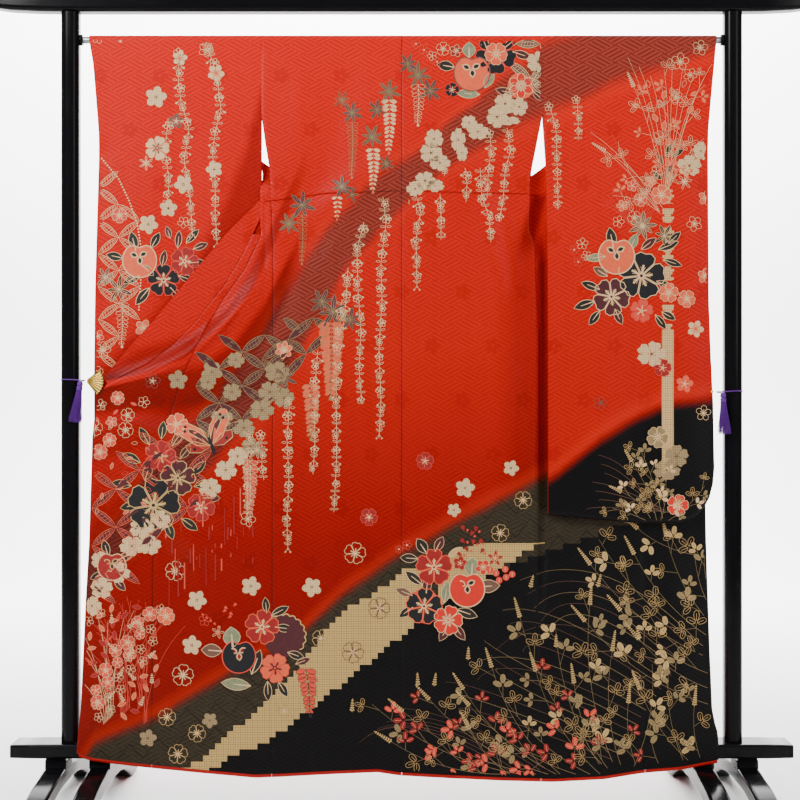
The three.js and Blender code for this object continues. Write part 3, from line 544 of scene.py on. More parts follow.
def foldShade(x, z, body):
    # How light the red is, as painted shade: darker down the body, beside the right sleeve and its slit, and
    # in the valleys of the pulled front, with a painted highlight on the front's ridge; the sleeves darker
    # down them and, on the left sleeve, near its slit.
    if not body:
        # painted shade: the sleeves darker towards the bottom, and the left sleeve darker near its slit
        down = lineOf(z, [(600.0, 0.66), (900.0, 0.76), (1300.0, 0.90), (1660.0, 1.0)])
        inner = lineOf(x, spots((100, 384), (160, 322), (200, 262), (225, 212), (246, 160), (262, 100))) - z
        inner = inner.soft(-70.0, 20.0) * (spot(300, 0)[0] - x).above(0.0)
        return down * (1.0 - inner * 0.42)
    # painted shade: the body darker towards the hem, and beside the right sleeve
    down = lineOf(z, [(60.0, 0.27), (340.0, 0.33), (560.0, 0.39), (700.0, 0.50), (840.0, 0.64),
                      (1000.0, 0.78), (1360.0, 0.86), (1660.0, 1.0)])
    flank = (x - 285.0).size().soft(95.0, 20.0) * (1300.0 - z).soft(0.0, 120.0)
    shade = down * (1.0 - flank * 0.26)
    # each valley: full shade within `near`, none past `far`, its depth and its line in the view
    valleys = ((10.0, 40.0, 0.42, ((100, 384), (140, 361), (190, 347), (228, 318), (250, 283), (268, 245))),
               (24.0, 60.0, 0.58, ((100, 394), (160, 392), (200, 386), (234, 362), (264, 324), (302, 250))),
               (14.0, 50.0, 0.30, ((80, 452), (150, 430), (220, 400), (300, 340))),
               (20.0, 70.0, 0.22, ((80, 560), (160, 470), (220, 430), (300, 350))))
    for near, far, depth, path in valleys:
        off = (z - lineOf(x, spots(*path))).size()
        inside = (spot(312, 0)[0] - x).soft(0.0, 60.0)
        shade = shade * (1.0 - off.soft(far, near) * inside * depth)
    # painted shade on the body beside the right sleeve's slit
    slitLine = [place[::-1] for place in spots((523, 262), (531, 225), (541, 195))]
    slit = (x - lineOf(z, slitLine)).size().soft(26.0, 6.0)
    shade = shade * (1.0 - slit * (z - 1180.0).soft(0.0, 60.0) * (1345.0 - z).soft(0.0, 20.0) * 0.5)
    # painted highlight along the ridge of the pulled front
    ridge = z - lineOf(x, spots((104, 385), (150, 374), (186, 361), (221, 328), (250, 296), (274, 262)))
    lit = ridge.size().soft(13.0, 3.0) * (spot(280, 0)[0] - x).soft(0.0, 40.0)
    return shade.most(lit * 0.80)


def shadedBand(x, z, point):
    # Distance from the middle of the band that runs from the upper right to the lower left, in half-widths.
    centre = lineOf(x, spots((85, 585), (120, 540), (160, 485), (215, 430), (262, 372), (300, 310),
                             (340, 245), (385, 198), (430, 160), (500, 108), (548, 76), (620, 50),
                             (720, 20)))
    halves = ((85, 60.0), (215, 78.0), (300, 100.0), (385, 66.0), (430, 50.0), (500, 68.0), (548, 86.0),
              (720, 74.0))
    half = lineOf(x, [(spot(column, 0)[0], wide) for column, wide in halves])
    wander = noiseOf(point, 7.0, 2.0) * 60.0 - 30.0
    return (z - centre + wander).size() / half


def silkGround(x, z, point, body=True):
    # The dyed red ground with its tonal fret, the shaded band and the seams, under the painted shade and
    # highlight of foldShade; gives the fret too.
    fret = fretOf(x, z)
    cloudy = noiseOf(point, 5.0, 3.0)
    depthOfDye = (fret * 0.7 + cloudy * 0.5 - paleFlowers(x, z) * 0.55).soft(0.1, 1.0)
    colour = blend(red["dark"], red["light"], depthOfDye)
    away = shadedBand(x, z, point)
    taupe = blend(ink(96, 34, 26), ink(132, 60, 46), fret)
    colour = blend(colour, taupe, away.soft(1.15, 0.62) * 0.86)
    rim = away.soft(1.5, 1.0) * away.soft(0.8, 1.1)
    colour = blend(colour, red["glow"], rim * 0.25)
    if body:
        colour = blend(colour, ink(60, 8, 6), seamsOf(x, z) * 0.6)
    # painted shade: foldShade darkens the colour towards the shade red, and lightens it on the ridge
    return blend(red["shade"], colour, foldShade(x, z, body)), fret


def stepped(value, step=13.0):
    return (value / step).whole() * step


def lowerFields(x, z, point, colour, fret):
    # The boards, the gold net band and the black field in the lower right, over the ground colour.
    top = lineOf(x, spots((60, 792), (95, 742), (160, 713), (235, 668), (292, 640), (345, 590), (400, 552),
                          (450, 524), (548, 472)))
    stretched = point.node("ShaderNodeVectorMath", {"operation": "MULTIPLY"}, {0: point, 1: (1.0, 1.0, 5.0)})
    grain = point.node("ShaderNodeTexNoise", None, {"Vector": stretched, "Scale": 60.0, "Detail": 3.0})
    inBoards = (top - z + (noiseOf(point, 9.0) * 18.0 - 9.0)).soft(-12.0, 26.0)
    board = blend(ink(22, 17, 12), ink(74, 64, 46), grain * 0.55 + fret * 0.2)
    slope, boardWide, boardTall = math.tan(math.radians(30)), 62.0, 52.0
    zig = ((x / boardWide).part() - 0.5).size() * boardWide * 2.0 * slope
    crack = (((z - x * slope * 0.35 + zig) / boardTall).part() - 0.5).size().soft(0.47, 0.49)
    board = blend(board, ink(14, 11, 11), crack * 0.9)
    rimGlow = (top - z).soft(-40.0, -4.0) * (top - z).soft(12.0, -6.0)
    colour = blend(colour, red["glow"], rimGlow * 0.22)
    colour = blend(colour, board, inBoards)
    # the black field and the net along it run in steps
    stepX = stepped(x)
    edgeZ = stepped(lineOf(stepX, spots((190, 778), (230, 752), (262, 741), (300, 712), (345, 676),
                                        (372, 655), (420, 615), (470, 575), (548, 548))))
    netZ = stepped(lineOf(stepX, spots((150, 778), (190, 762), (262, 700), (300, 660), (335, 612), (345, 606),
                                       (392, 576), (400, 566), (430, 566))))
    black = blend(*blackInks, fret * 0.55 + grain * 0.3)
    inNet = (netZ - z).above(0.0) * (z - edgeZ).above(0.0) * (spot(422, 0)[0] - x).above(0.0)
    # further right the net comes back as a stepped wedge
    wedgeTop = lineOf(stepX, spots((436, 560), (470, 545), (480, 543), (532, 543)))
    wedgeLow = stepped(lineOf(stepX, spots((436, 600), (470, 585), (505, 560), (532, 544))))
    inWedge = (wedgeTop - z).above(0.0) * (z - wedgeLow).above(0.0) * (x - spot(438, 0)[0]).above(0.0)
    colour = blend(colour, black, (edgeZ - z).above(0.0))
    return blend(colour, netColour(x, z), inNet.most(inWedge))


def netColour(x, z, size=5.2, light=ink(210, 174, 108), gap=ink(70, 50, 26)):
    # Small squares of a tie-dyed net in straight rows, each with its dark dot.
    a = ((x / size).part() - 0.5).size()
    b = ((z / size).part() - 0.5).size()
    return blend(gap, light, a.most(b).soft(0.47, 0.38) * (a + b).soft(0.06, 0.26))


def sleeveFields(x, z, point, colour, fret):
    # The right sleeve's black foot and the strip of net, whole below and broken into pieces above.
    below = lineOf(x, spots((540, 483), (560, 470), (600, 437), (640, 413), (668, 402), (720, 394))) - z
    fade = (below + (noiseOf(point, 8.0) * 16.0 - 8.0)).soft(-16.0, 24.0)
    glow = below.soft(-46.0, -8.0) * below.soft(16.0, -8.0)
    colour = blend(colour, red["glow"], glow * 0.25)
    colour = blend(colour, blend(*blackInks, fret * 0.5), fade)
    column = (x - lineOf(z, [(880.0, 577.0), (885.0, 577.0), (1345.0, 581.0)])).size().soft(13.4, 11.8)
    strip = column * (z - 715.0).above(0.0) * (spot(0, 190)[1] - z).above(0.0)
    ragged = ((z / 6.0).whole() * 0.37).part() * 11.0
    pieces = (ragged + 5.0 - (x - 579.0).size()).above(0.0) * ((z / 42.0).part() - 0.26).above(0.0)
    strip = strip * (1.0 - (z - spot(0, 330)[1]).above(0.0) * (1.0 - pieces))
    return blend(colour, netColour(x, z, 5.2, ink(222, 184, 126), ink(130, 70, 40)), strip)


def silkMaterial(name, fields=None, body=False):
    made, tree, shader = newMaterial(name, Roughness=0.42, Sheen_Weight=0.05, Sheen_Roughness=0.35,
                                     Sheen_Tint=ink(255, 120, 90), Specular_IOR_Level=0.12)
    point, x, y, z = coordinates(tree)
    colour, fret = silkGround(x, z, point, body)
    if fields:
        colour = fields(x, z, point, colour, fret)
    paint(tree, shader, colour, fret * -0.10 + 0.50)
    weave = noiseOf(point, 700.0, 1.0)
    clothBump(tree, shader, fret * 0.6 + weave * 0.4 + noiseOf(point, 14.0, 3.0) * 2.2, 0.28)
    return made


def mottled(name, a, b, scale, detail=2.0, **values):
    # A material of two colours mixed by a noise.
    made, tree, shader = newMaterial(name, **values)
    point = coordinates(tree)[0]
    paint(tree, shader, blend(a, b, noiseOf(point, scale, detail)))
    return made, tree, shader, point


silk = silkMaterial("silk", lowerFields, body=True)
sleeveSilk = silkMaterial("silk_sleeve_right", sleeveFields)
plainSilk = silkMaterial("silk_sleeve_left")
lining, tree, shader, point = mottled("lining", (0.30, 0.003, 0.001, 1), (0.42, 0.005, 0.002, 1), 6.0, 3.0,
                                      Roughness=0.55, Specular_IOR_Level=0.2)
clothBump(tree, shader, noiseOf(point, 500.0, 1.0) + noiseOf(point, 20.0, 3.0) * 2.0, 0.22)
print("silk ready")

# the garment's panels
gap = 0.25
leftLevels = [84, 400, 711, 885, 920, 962, 1007, 1050, 1137, 1202, 1246]
rightLevels = [84, 400, 700, 885, 900, 934, 968, 1004, 1038]
backHalf("panel_back_left", "back_left", edge(sideLeft, -gap), lambda z: np.full(np.shape(z), gap),
         bodyDepth)
backHalf("panel_back_right", "back_right", lambda z: np.full(np.shape(z), -gap), edge(sideRight, gap),
         rightBackDepth)
hangingPanel("panel_front_left", "front_left",
             lambda z: np.where(z < 1250, along(seamLeft, z) - gap, along(outerLeft, z)),
             lambda z: np.where(z < 1225, along(sideLeft, z) + gap, along(innerLeft, z)), leftFrontDepth,
             leftLevels + [1262, 1300, 1345, 1387, 1394, 1443, 1507, 1580, 1660],
             silkAbove=1372,
             rise=lambda x, level: (np.maximum(0, -286 - x) * smooth(1345, 1387, level)
                                    * smooth(1394, 1387, level)))
hangingPanel("panel_front_right", "front_right",
             lambda z: np.where(z < 1230, along(sideRight, z) - gap, along(innerRight, z)),
             lambda z: np.where(z < 1040, along(seamRight, z) + gap, along(outerRight, z)), rightFrontDepth,
             rightLevels + [1065, 1105, 1150, 1190, 1262, 1325, 1365, 1372, 1403, 1455, 1507, 1580, 1660],
             silkAbove=1420,
             rise=lambda x, level: (np.maximum(0, x - 283) * smooth(1300, 1365, level)
                                    * smooth(1372, 1365, level)))
hangingPanel("panel_okumi_left", "okumi_left", edge(freeLeft, -gap), edge(seamLeft, gap), bodyDepth,
             leftLevels, widest=160)
hangingPanel("panel_okumi_right", "okumi_right", edge(seamRight, -gap), edge(freeRight, gap), rightDepth,
             rightLevels, widest=160)
print("panels laid")

# collar bands: places along the lower and the upper edge, x z, x z
collarLeft = numbers("""
-640.3 920.5 -646 936   -558.3 962.5 -583 1012   -497.4 1007.4 -541 1057   -454.4 1050.4 -502 1105
-385.5 1137.3 -440 1180   -347.5 1203.3 -386 1244   -325.5 1247 -345 1286   -312 1275 -324 1307
-303 1290 -312 1320   -294 1303 -302 1330   -285 1315 -294 1341   -272 1327 -284 1354   -236 1362 -262 1396
-150 1470 -186 1510   -92 1556 -128 1590   -52 1592 -66 1646   -0.2 1600 -0.2 1656""", 4)
collarRight = numbers("""
650.3 900.5 662 926   600 927.3 622 982   522.3 968.6 556 1024   412.4 1040.6 452 1104   368 1084 412 1150
323 1151 364 1208   318 1184 352 1244   288 1232 330 1296   236 1320 272 1366   150 1470 186 1510
92 1556 128 1590   52 1592 66 1646   0.2 1600 0.2 1656""", 4)


def collarLeftDepth(x, z):
    shown = lerp(bodyDepth(x, z), -11.6, smooth(-345, -318, x))
    return lerp(shown, cloth["collar"], smooth(-303, -284, x))


def collarRightDepth(x, z):
    return lerp(cloth["collar"], rightDepth(x, z), smooth(345, 425, x))


def makeCollar(name, node, stations, depth, flip):
    obj, u, v = newGrid(110, 9)
    place = (1 - u if flip else u) * (len(stations) - 1)
    at = [np.interp(place, np.arange(len(stations)), stations[:, i]) for i in range(4)]
    x, z = lerp(at[0], at[2], v), lerp(at[1], at[3], v)
    return makeCloth(name, x, depth(x, z), z, obj, node, [silk, silk])


makeCollar("panel_collar_left", "collar_left", collarLeft, collarLeftDepth, False)
makeCollar("panel_collar_right", "collar_right", collarRight, collarRightDepth, True)
print("collar laid")

# sleeves
sleeves = dict(open=7.0, closed=1.7, cuff=1452.0, swing=31.0)
sleeveOuter = dict(
    left=table("600:-673 951:-673 1125:-671 1300:-666 1398:-663 1468:-662 1619:-674 1685:-685"),
    right=table("600:679 730:679 885:677 972:673 1103:669 1473:669 1538:675 1685:689"))
sleeveInner = dict(left=table("600:-306.5 1690:-306.5"),
                   right=table("600:318 1150:318 1400:314.5 1507:307.5 1690:307.5"))
sleeveBottom = table("0:742 3:705 12:672 26:646 48:627 90:616 180:618 290:627 370:635")
sleeveWaves = dict(left=[(-560, 45, 2.5), (-400, 50, 2)], right=[(440, 50, 3), (590, 45, 2.5)])


def sleeveGap(u, z):
    room = lerp(sleeves["open"], cloth["wrap"], smooth(1500, cloth["rod"], z))
    shut = lerp(sleeves["closed"], room, smooth(0.99, 0.9, u))
    return lerp(shut, room, smooth(sleeves["cuff"] - 30, sleeves["cuff"] + 20, z))


def sleeveWave(side, x, z):
    return smooth(cloth["rod"] - 60, 1300, z) * sum(lift * np.exp(-(((x - at) / width) ** 2))
                                                   for at, width, lift in sleeveWaves[side])


def sleeveMiddle(side, z):
    return -(sleeves["swing"] if side == "right" else 0.0) * np.clip((cloth["rod"] - z) / 1050, 0, 1)


def sleeveFace(side, x, z, face=-1):
    # Depth of a sleeve's wall where x and z lie on it: the photographed face is -1.
    x, z = np.broadcast_arrays(np.asarray(x, float), np.asarray(z, float))
    inner, outer = along(sleeveInner[side], z), along(sleeveOuter[side], z)
    u = np.clip((x - inner) / (outer - inner), 0, 1)
    return sleeveMiddle(side, z) + face * sleeveGap(u, z) - sleeveWave(side, x, z)


def acrossSleeve(side, z, share):
    return lerp(along(sleeveInner[side], z), along(sleeveOuter[side], z), share)


def makeSleeve(side, mats):
    # A tube of cloth: up the photographed face, over the rod, down the other face and round the bottom.
    upRows, turnRows, endRows = 116, 12, 4
    total = upRows * 2 + turnRows + endRows
    obj, u, v = newGrid(40, total)
    u = np.where(u > 0.9, 0.9 + (1 - (1 - (u - 0.9) / 0.1) ** 1.6) * 0.1, u)
    share = u if side == "right" else 1 - u
    row = np.round(v * total).astype(int)
    width = np.abs(sleeveOuter[side][1][0] - sleeveInner[side][1][0])
    low = along(sleeveBottom, (1 - share) * width)
    turn = sleeveGap(share, low + 10)
    bottom = low + turn
    up = np.clip(row / upRows, 0, 1)
    down = np.clip((row - upRows - turnRows) / upRows, 0, 1)
    rising, over = row <= upRows, (row > upRows) & (row < upRows + turnRows)
    z = np.where(rising, lerp(bottom, cloth["rod"], up), lerp(cloth["rod"], bottom, down))
    x = acrossSleeve(side, z, share)
    y = sleeveMiddle(side, z) + np.where(rising, -1.0, 1.0) * sleeveGap(share, z) - sleeveWave(side, x, z)
    angle = np.pi * np.clip((row - upRows) / turnRows, 0, 1)
    y = np.where(over, -cloth["wrap"] * np.cos(angle), y)
    z = np.where(over, cloth["rod"] + cloth["wrap"] * np.sin(angle), z)
    x = np.where(over, acrossSleeve(side, cloth["rod"], share), x)
    ending = row > upRows * 2 + turnRows
    t = np.clip((row - upRows * 2 - turnRows) / endRows, 0, 1)
    endX = acrossSleeve(side, bottom, share)
    middle = sleeveMiddle(side, bottom) - sleeveWave(side, endX, bottom)
    x = np.where(ending, endX, x)
    y = np.where(ending, middle + turn * np.cos(np.pi * t), y)
    z = np.where(ending, bottom - turn * 0.75 * np.sin(np.pi * t), z)
    return makeCloth(f"sleeve_{side}_tube", x, y, z, obj, f"sleeve_{side}", mats, closed=True)


makeSleeve("left", [plainSilk, lining])
makeSleeve("right", [sleeveSilk, lining])
print("sleeves hung")

# the hem's padded roll
hem = dict(gap=1.5, height=4.2, thick=3.4, inward=0.6, step=7)


def hemRoll(name, start, end, depth):
    obj, u, v = newGrid(max(12, round((end - start) / hem["step"])), 12)
    turn = 2 * np.pi * v
    x = lerp(start, end, u)
    edgeZ = along(hemTable, x)
    tall, deep = hem["height"] / 2 + hem["thick"] / 2, hem["thick"] / 2
    y = depth(x, edgeZ) + hem["inward"] - deep * np.cos(turn)
    z = edgeZ - hem["gap"] - hem["height"] / 2 + tall * np.sin(turn)
    moveTo(obj, np.stack([x, y, z], 1))
    finishPiece(obj, "roll_" + name, ["hem_" + name], [lining], 80)


for name, start, end, depth in (("okumi_left", -698, -540.3, bodyDepth),
                                ("front_left", -539.7, -281.3, bodyDepth),
                                ("back_left", -280.7, -0.3, bodyDepth),
                                ("back_right", 0.3, 300.7, bodyDepth),
                                ("front_right", 301.3, 525.6, rightDepth),
                                ("okumi_right", 526.3, 682, rightDepth)):
    hemRoll(name, start, end, depth)
print("hem laid")

# the lacquered stand
lacquer, tree, shader, point = mottled("lacquer", ink(9, 9, 11), ink(17, 16, 18), 3.0, Roughness=0.12,
                                       Specular_IOR_Level=0.08)
rough = noiseOf(point, 12.0, 3.0).soft(0.3, 0.8) * 0.08 + 0.13
tree.links.new(rough.out, shader.inputs["Roughness"])
stand = dict(postAt=724.0, postWidth=39.6, postDepth=48.0, postRound=17.0, seat=0.3)
beam = dict(bottom=1732.0, height=36.0, depth=44.0, half=915.0, rise=9.0, straight=740.0, round=10.0)
rail = dict(bottom=108.0, height=31.0, depth=88.0, half=849.0, round=5.0)
foot = dict(width=46.0, round=7.0, inner=655.0, outer=751.0)


def newBlock(cuts):
    deselect()
    bpy.ops.mesh.primitive_cube_add(size=2)
    obj = bpy.context.object
    editAll(obj, bpy.ops.mesh.subdivide, number_cuts=cuts)
    return obj, places(obj)


def rounded(points, halves, radius, axes=(0, 1, 2)):
    # Rounds a box's edges: each point keeps its place beyond the inner box, on a circle of the radius.
    out = points.copy()
    h = np.array(halves)[list(axes)] if np.ndim(halves) == 1 else halves[:, list(axes)]
    p = points[:, list(axes)]
    core = np.clip(p, -(h - radius), h - radius)
    away = p - core
    length = np.linalg.norm(away, axis=1, keepdims=True)
    out[:, list(axes)] = core + away * np.where(length > 1e-9, radius / np.maximum(length, 1e-9), 0)
    return out


def makePost(name, side):
    obj, co = newBlock(22)
    low = rail["bottom"] + rail["height"] + stand["seat"]
    high = beam["bottom"] - stand["seat"]
    halves = np.array([stand["postWidth"] / 2, stand["postDepth"] / 2, (high - low) / 2])
    p = rounded(co * halves, halves, stand["postRound"], (0, 1))
    moveTo(obj, p + [side * stand["postAt"], 0, (low + high) / 2])
    finishPiece(obj, f"lacquered_{name}", [name], [lacquer], 50)


def makeBar(name, node, size, radius, bottom, rise=0.0):
    obj, co = newBlock(28)
    halves = np.array([size["half"], size["depth"] / 2, size["height"] / 2])
    p = rounded(co * halves, halves, radius)
    past = np.maximum(0, np.abs(p[:, 0]) - beam["straight"]) / (beam["half"] - beam["straight"])
    p[:, 2] += bottom + size["height"] / 2 + rise * past ** 2
    moveTo(obj, p)
    finishPiece(obj, name, [node], [lacquer], 50)


footTop = table("-332:24 -318:31 -300:39 -280:47 -250:57.5 -220:65.5 -190:71.5 -150:77 -110:80.5 -62:86 "
                "-37:88 -34:95 -32:107.7 32:107.7 34:95 37:88 62:86 110:80.5 150:77 190:71.5 220:65.5 "
                "250:57.5 280:47 300:39 318:31 332:24")
footLow = table("-332:0 -264:0 -220:19 -180:33 -150:40.5 -100:47.7 -40:50 40:50 100:47.7 150:40.5 180:33 "
                "220:19 264:0 332:0")
footSteps = np.concatenate([np.linspace(-332, -64, 22), [-50, -40, -37, -34, -32, 32, 34, 37, 40, 50],
                            np.linspace(64, 332, 22)])


def makeFoot(name, x):
    cuts = len(footSteps) - 2
    obj, co = newBlock(cuts)
    y = np.interp(co[:, 1], np.linspace(-1, 1, cuts + 2), footSteps)
    low, high = along(footLow, y), along(footTop, y)
    tall = (high - low) / 2
    halves = np.stack([np.full(len(y), foot["width"] / 2), np.ones(len(y)), tall], 1)
    p = np.stack([co[:, 0] * foot["width"] / 2, y, co[:, 2] * tall], 1)
    p = rounded(p, halves, foot["round"], (0, 2))
    p[:, 2] += (low + high) / 2
    moveTo(obj, p + [x, 0, 0])
    finishPiece(obj, f"lacquered_{name}", [name], [lacquer], 50)


makePost("post_left", -1)
makePost("post_right", 1)
makeBar("lacquered_beam", "top_beam", beam, beam["round"], beam["bottom"], beam["rise"])
makeBar("lacquered_rail", "base_rail", rail, rail["round"], rail["bottom"])
for side, word in ((-1, "left"), (1, "right")):
    makeFoot(f"foot_outer_{word}", side * foot["outer"])
    makeFoot(f"foot_inner_{word}", side * foot["inner"])
print("stand built")

rodMetal = newMaterial("rod_metal", Base_Color=ink(160, 162, 166), Roughness=0.3, Metallic=0.85)[0]


def turnedX(name, node, radius, length, x, mat):
    # A cylinder along x, at the rod's height.
    deselect()
    bpy.ops.mesh.primitive_cylinder_add(vertices=48, radius=radius * mm, depth=length * mm)
    obj = bpy.context.object
    co = places(obj) / mm
    moveTo(obj, np.stack([co[:, 2] + x, co[:, 1], -co[:, 0] + cloth["rod"]], 1))
    applyModifier(obj, "BEVEL", width=0.6 * mm, segments=2, limit_method="ANGLE")
    return finishPiece(obj, name, [node], [mat])


rod = dict(radius=7.5, socketRadius=12.0, socketLength=6.0)
rod["end"] = stand["postAt"] - stand["postWidth"] / 2 - stand["seat"]
turnedX("rod", "hanging_rod", rod["radius"], 2 * rod["end"], 0, rodMetal)
for side, word in ((-1, "left"), (1, "right")):
    turnedX(f"socket_{word}", f"rod_socket_{word}", rod["socketRadius"], rod["socketLength"],
            side * (rod["end"] - rod["socketLength"] / 2), lacquer)
print("rod placed")

# the dyed and stitched motifs
# each ink: its darker colour, its lighter colour and how metallic it is
inks = """
cream 0.64 0.36 0.16 0.8 0.55 0.29 0.15
gold 0.46 0.28 0.09 0.68 0.46 0.19 0.35
oldGold 0.2 0.13 0.05 0.36 0.25 0.11 0.25
salmon 0.66 0.065 0.02 0.8 0.13 0.05 0
rose 0.56 0.035 0.018 0.74 0.075 0.04 0
crimson 0.2 0.006 0.006 0.36 0.012 0.01 0
maroon 0.045 0.007 0.01 0.085 0.013 0.016 0
black 0.004 0.004 0.005 0.01 0.009 0.011 0
leafDark 0.007 0.006 0.005 0.02 0.018 0.014 0
leafLight 0.09 0.13 0.07 0.3 0.3 0.16 0
mauve 0.05 0.015 0.021 0.115 0.038 0.05 0
taupe 0.1 0.045 0.03 0.19 0.09 0.06 0.1
scarlet 0.55 0.01 0.004 0.7 0.02 0.008 0
"""


def netMaterial(name, light, gap, size):
    made, tree, shader = newMaterial("print_" + name, Roughness=0.5, Metallic=0.2, Specular_IOR_Level=0.3)
    point, x, y, z = coordinates(tree)
    paint(tree, shader, netColour(x, z, size, light, gap))
    return made


inkMats = {}
for row in inks.split("\n")[1:-1]:
    name, *values = row.split()
    values = [float(v) for v in values]
    inkMats[name], tree, shader, point = mottled("print_" + name, (*values[:3], 1), (*values[3:6], 1), 120.0,
                                                 Roughness=0.48, Metallic=values[6], Specular_IOR_Level=0.3)
    clothBump(tree, shader, noiseOf(point, 900.0, 1.0), 0.15)
inkMats["net"] = netMaterial("net", (0.80, 0.56, 0.30, 1), (0.34, 0.16, 0.06, 1), 5.2)
inkMats["netBrown"] = netMaterial("netBrown", (0.42, 0.29, 0.14, 1), (0.07, 0.03, 0.02, 1), 4.6)
inkNames = list(inkMats)
printed = dict(lift=1.0 + 0.55, layer=0.09)
marks = []


def patch(name, layer, points):
    # A filled shape, drawn as a fan round its middle, in the view's own units.
    pts = np.array(points, float)
    n = len(pts)
    marks.append((name, layer, np.vstack([pts.mean(0), pts]),
                  [(0, i + 1, (i + 1) % n + 1) for i in range(n)]))


def line(name, layer, points, width, closed=False, taper=0.0):
    # A drawn line; `taper` thins it towards its end.
    pts = np.array(points, float)
    if closed:
        ahead = np.roll(pts, -1, 0) - np.roll(pts, 1, 0)
    else:
        ahead = np.gradient(pts, axis=0)
    ahead /= np.maximum(np.linalg.norm(ahead, axis=1, keepdims=True), 1e-9)
    n = len(pts)
    wide = width / 2 * (1 - taper * np.linspace(0, 1, n))[:, None]
    out = np.stack([-ahead[:, 1], ahead[:, 0]], 1) * wide
    last = n if closed else n - 1
    faces = [(i, (i + 1) % n, n + (i + 1) % n, n + i) for i in range(last)]
    marks.append((name, layer, np.vstack([pts + out, pts - out]), faces))


def turned2(points, angle, at, size=1.0):
    # Local points (along, across) turned by an angle from straight up, clockwise, and placed.
    pts = np.array(points, float) * size
    s, c = math.sin(angle), math.cos(angle)
    return np.stack([at[0] + pts[:, 0] * s + pts[:, 1] * c, at[1] - pts[:, 0] * c + pts[:, 1] * s], 1)


def off(at, angle, distance, rise=1.0):
    # The place at a distance from `at`, by an angle clockwise from straight up.
    return at[0] + math.sin(angle) * distance, at[1] - math.cos(angle) * distance * rise


def pathOf(points):
    # A path's places by the distance along it, and its length.
    pts = np.array(points, float)
    total = np.concatenate([[0], np.cumsum(np.linalg.norm(np.diff(pts, axis=0), axis=1))])
    return lambda at: tuple(float(np.interp(at, total, pts[:, i])) for i in (0, 1)), total[-1]


def disc(name, layer, at, radius, sides=8):
    a = np.linspace(0, 2 * math.pi, sides, endpoint=False)
    patch(name, layer, np.stack([at[0] + radius * np.cos(a), at[1] + radius * np.sin(a)], 1))


def mirrored(half, *tip):
    # A petal's outline: one half from the root, the points at the tip, and the other half back.
    return half + list(tip) + [(u, -v) for u, v in reversed(half)]


petalForms = dict(
    notched=mirrored([(0.08, 0.03), (0.34, 0.22), (0.60, 0.41), (0.82, 0.42), (0.97, 0.22)], (0.92, 0)),
    round=mirrored([(0.10, 0.05), (0.30, 0.26), (0.55, 0.36), (0.80, 0.30), (0.97, 0.10)]),
    narrow=mirrored([(0.05, 0.02), (0.35, 0.13), (0.65, 0.16), (0.88, 0.09)], (1.0, 0)))


def flower(at, r, fill, rim, heart="cream", form="notched", turn=0.0, petals=5, stamens=True, base=2,
           rimWide=None):
    # An open flower: filled petals, each with its own outline, and stamens round a small eye.
    shape = np.array(petalForms[form])
    if petals > 5:
        shape = shape * [1, 5.0 / petals]
    wide = rimWide or max(0.4, min(0.85, r * 0.052))
    for i in range(petals):
        angle = turn + 2 * math.pi * i / petals
        ring = turned2(shape, angle, at, r)
        if fill:
            patch(fill, base, ring)
        if rim:
            line(rim, base + 1, ring, wide, closed=True)
        if stamens and r > 6:
            line(heart, base + 2, turned2([(0.14, 0), (0.30, 0.01), (0.46, 0)], angle, at, r),
                 max(0.5, r * 0.085))
            if r > 12:
                for side in (-1, 1):
                    line(heart, base + 2, turned2([(0.16, 0), (0.38, side * 0.10)], angle, at, r), 0.45)
    disc(heart, base + 2, at, max(0.9, r * 0.15))
    if r > 9:
        disc(fill or rim, base + 3, at, r * 0.07, 6)


def netRim(name):
    return "oldGold" if name == "netBrown" else "cream"


def netFlower(at, r, turn=0.0, name="net", base=2):
    # A flower of five round lobes filled with the small net.
    flower(at, r, name, netRim(name), "taupe", "round", turn, stamens=False, base=base, rimWide=0.4)
    disc("taupe", base + 1, at, r * 0.10)


def netCloud(at, w, h, turn=0.0, name="net", base=2):
    # A broad net flower seen at a slant: five notched petals in an oval w by h.
    drop = mirrored([(0.40, 0.27), (0.70, 0.42), (0.95, 0.27)], (0.90, 0.0))
    for i in range(5):
        ring = np.array(turned2([(0.06, 0.0)] + drop, turn + 2 * math.pi * i / 5, (0.0, 0.0)))
        ring = np.stack([at[0] + ring[:, 0] * w * 0.64, at[1] + ring[:, 1] * h * 0.64], 1)
        patch(name, base, ring)
        line(netRim(name), base + 1, ring, 0.4, closed=True)
    disc("taupe", base + 2, at, min(w, h) * 0.07)


def leaf(at, length, width, angle, fill="leafDark", rim="cream", vein="cream", base=1, bow=0.0, rimWide=None):
    # A pointed leaf, its middle at `at`, with a bold pale midrib along half its length.
    t = np.linspace(0, 1, 7)
    half = 0.5 * width * np.sin(math.pi * t) ** 0.85
    spine = bow * width * np.sin(math.pi * t)
    up = np.stack([length * (t - 0.5), spine + half], 1)
    down = np.stack([length * (t - 0.5), spine - half], 1)[::-1]
    ring = turned2(np.vstack([up, down[1:-1]]), angle, at)
    if fill:
        patch(fill, base, ring)
    if rim:
        line(rim, base + 1, ring, rimWide or max(0.32, min(0.62, length * 0.028)), closed=True)
    if vein:
        k = slice(0, 5)
        mid = np.stack([length * (t[k] - 0.5), spine[k]], 1)
        line(vein, base + 2, turned2(mid, angle, at), max(0.4, width * 0.13), taper=0.5)


def starLeaf(at, r, fill="mauve", rim="taupe", count=7, turn=0.0, base=2):
    # Narrow leaflets that open like a star.
    for i in range(count):
        angle = turn + 2 * math.pi * i / count
        size = r * (1.0 if i % 2 == 0 else 0.82)
        leaf(off(at, angle, size * 0.5), size, size * 0.27, angle, fill, rim, rim, base)


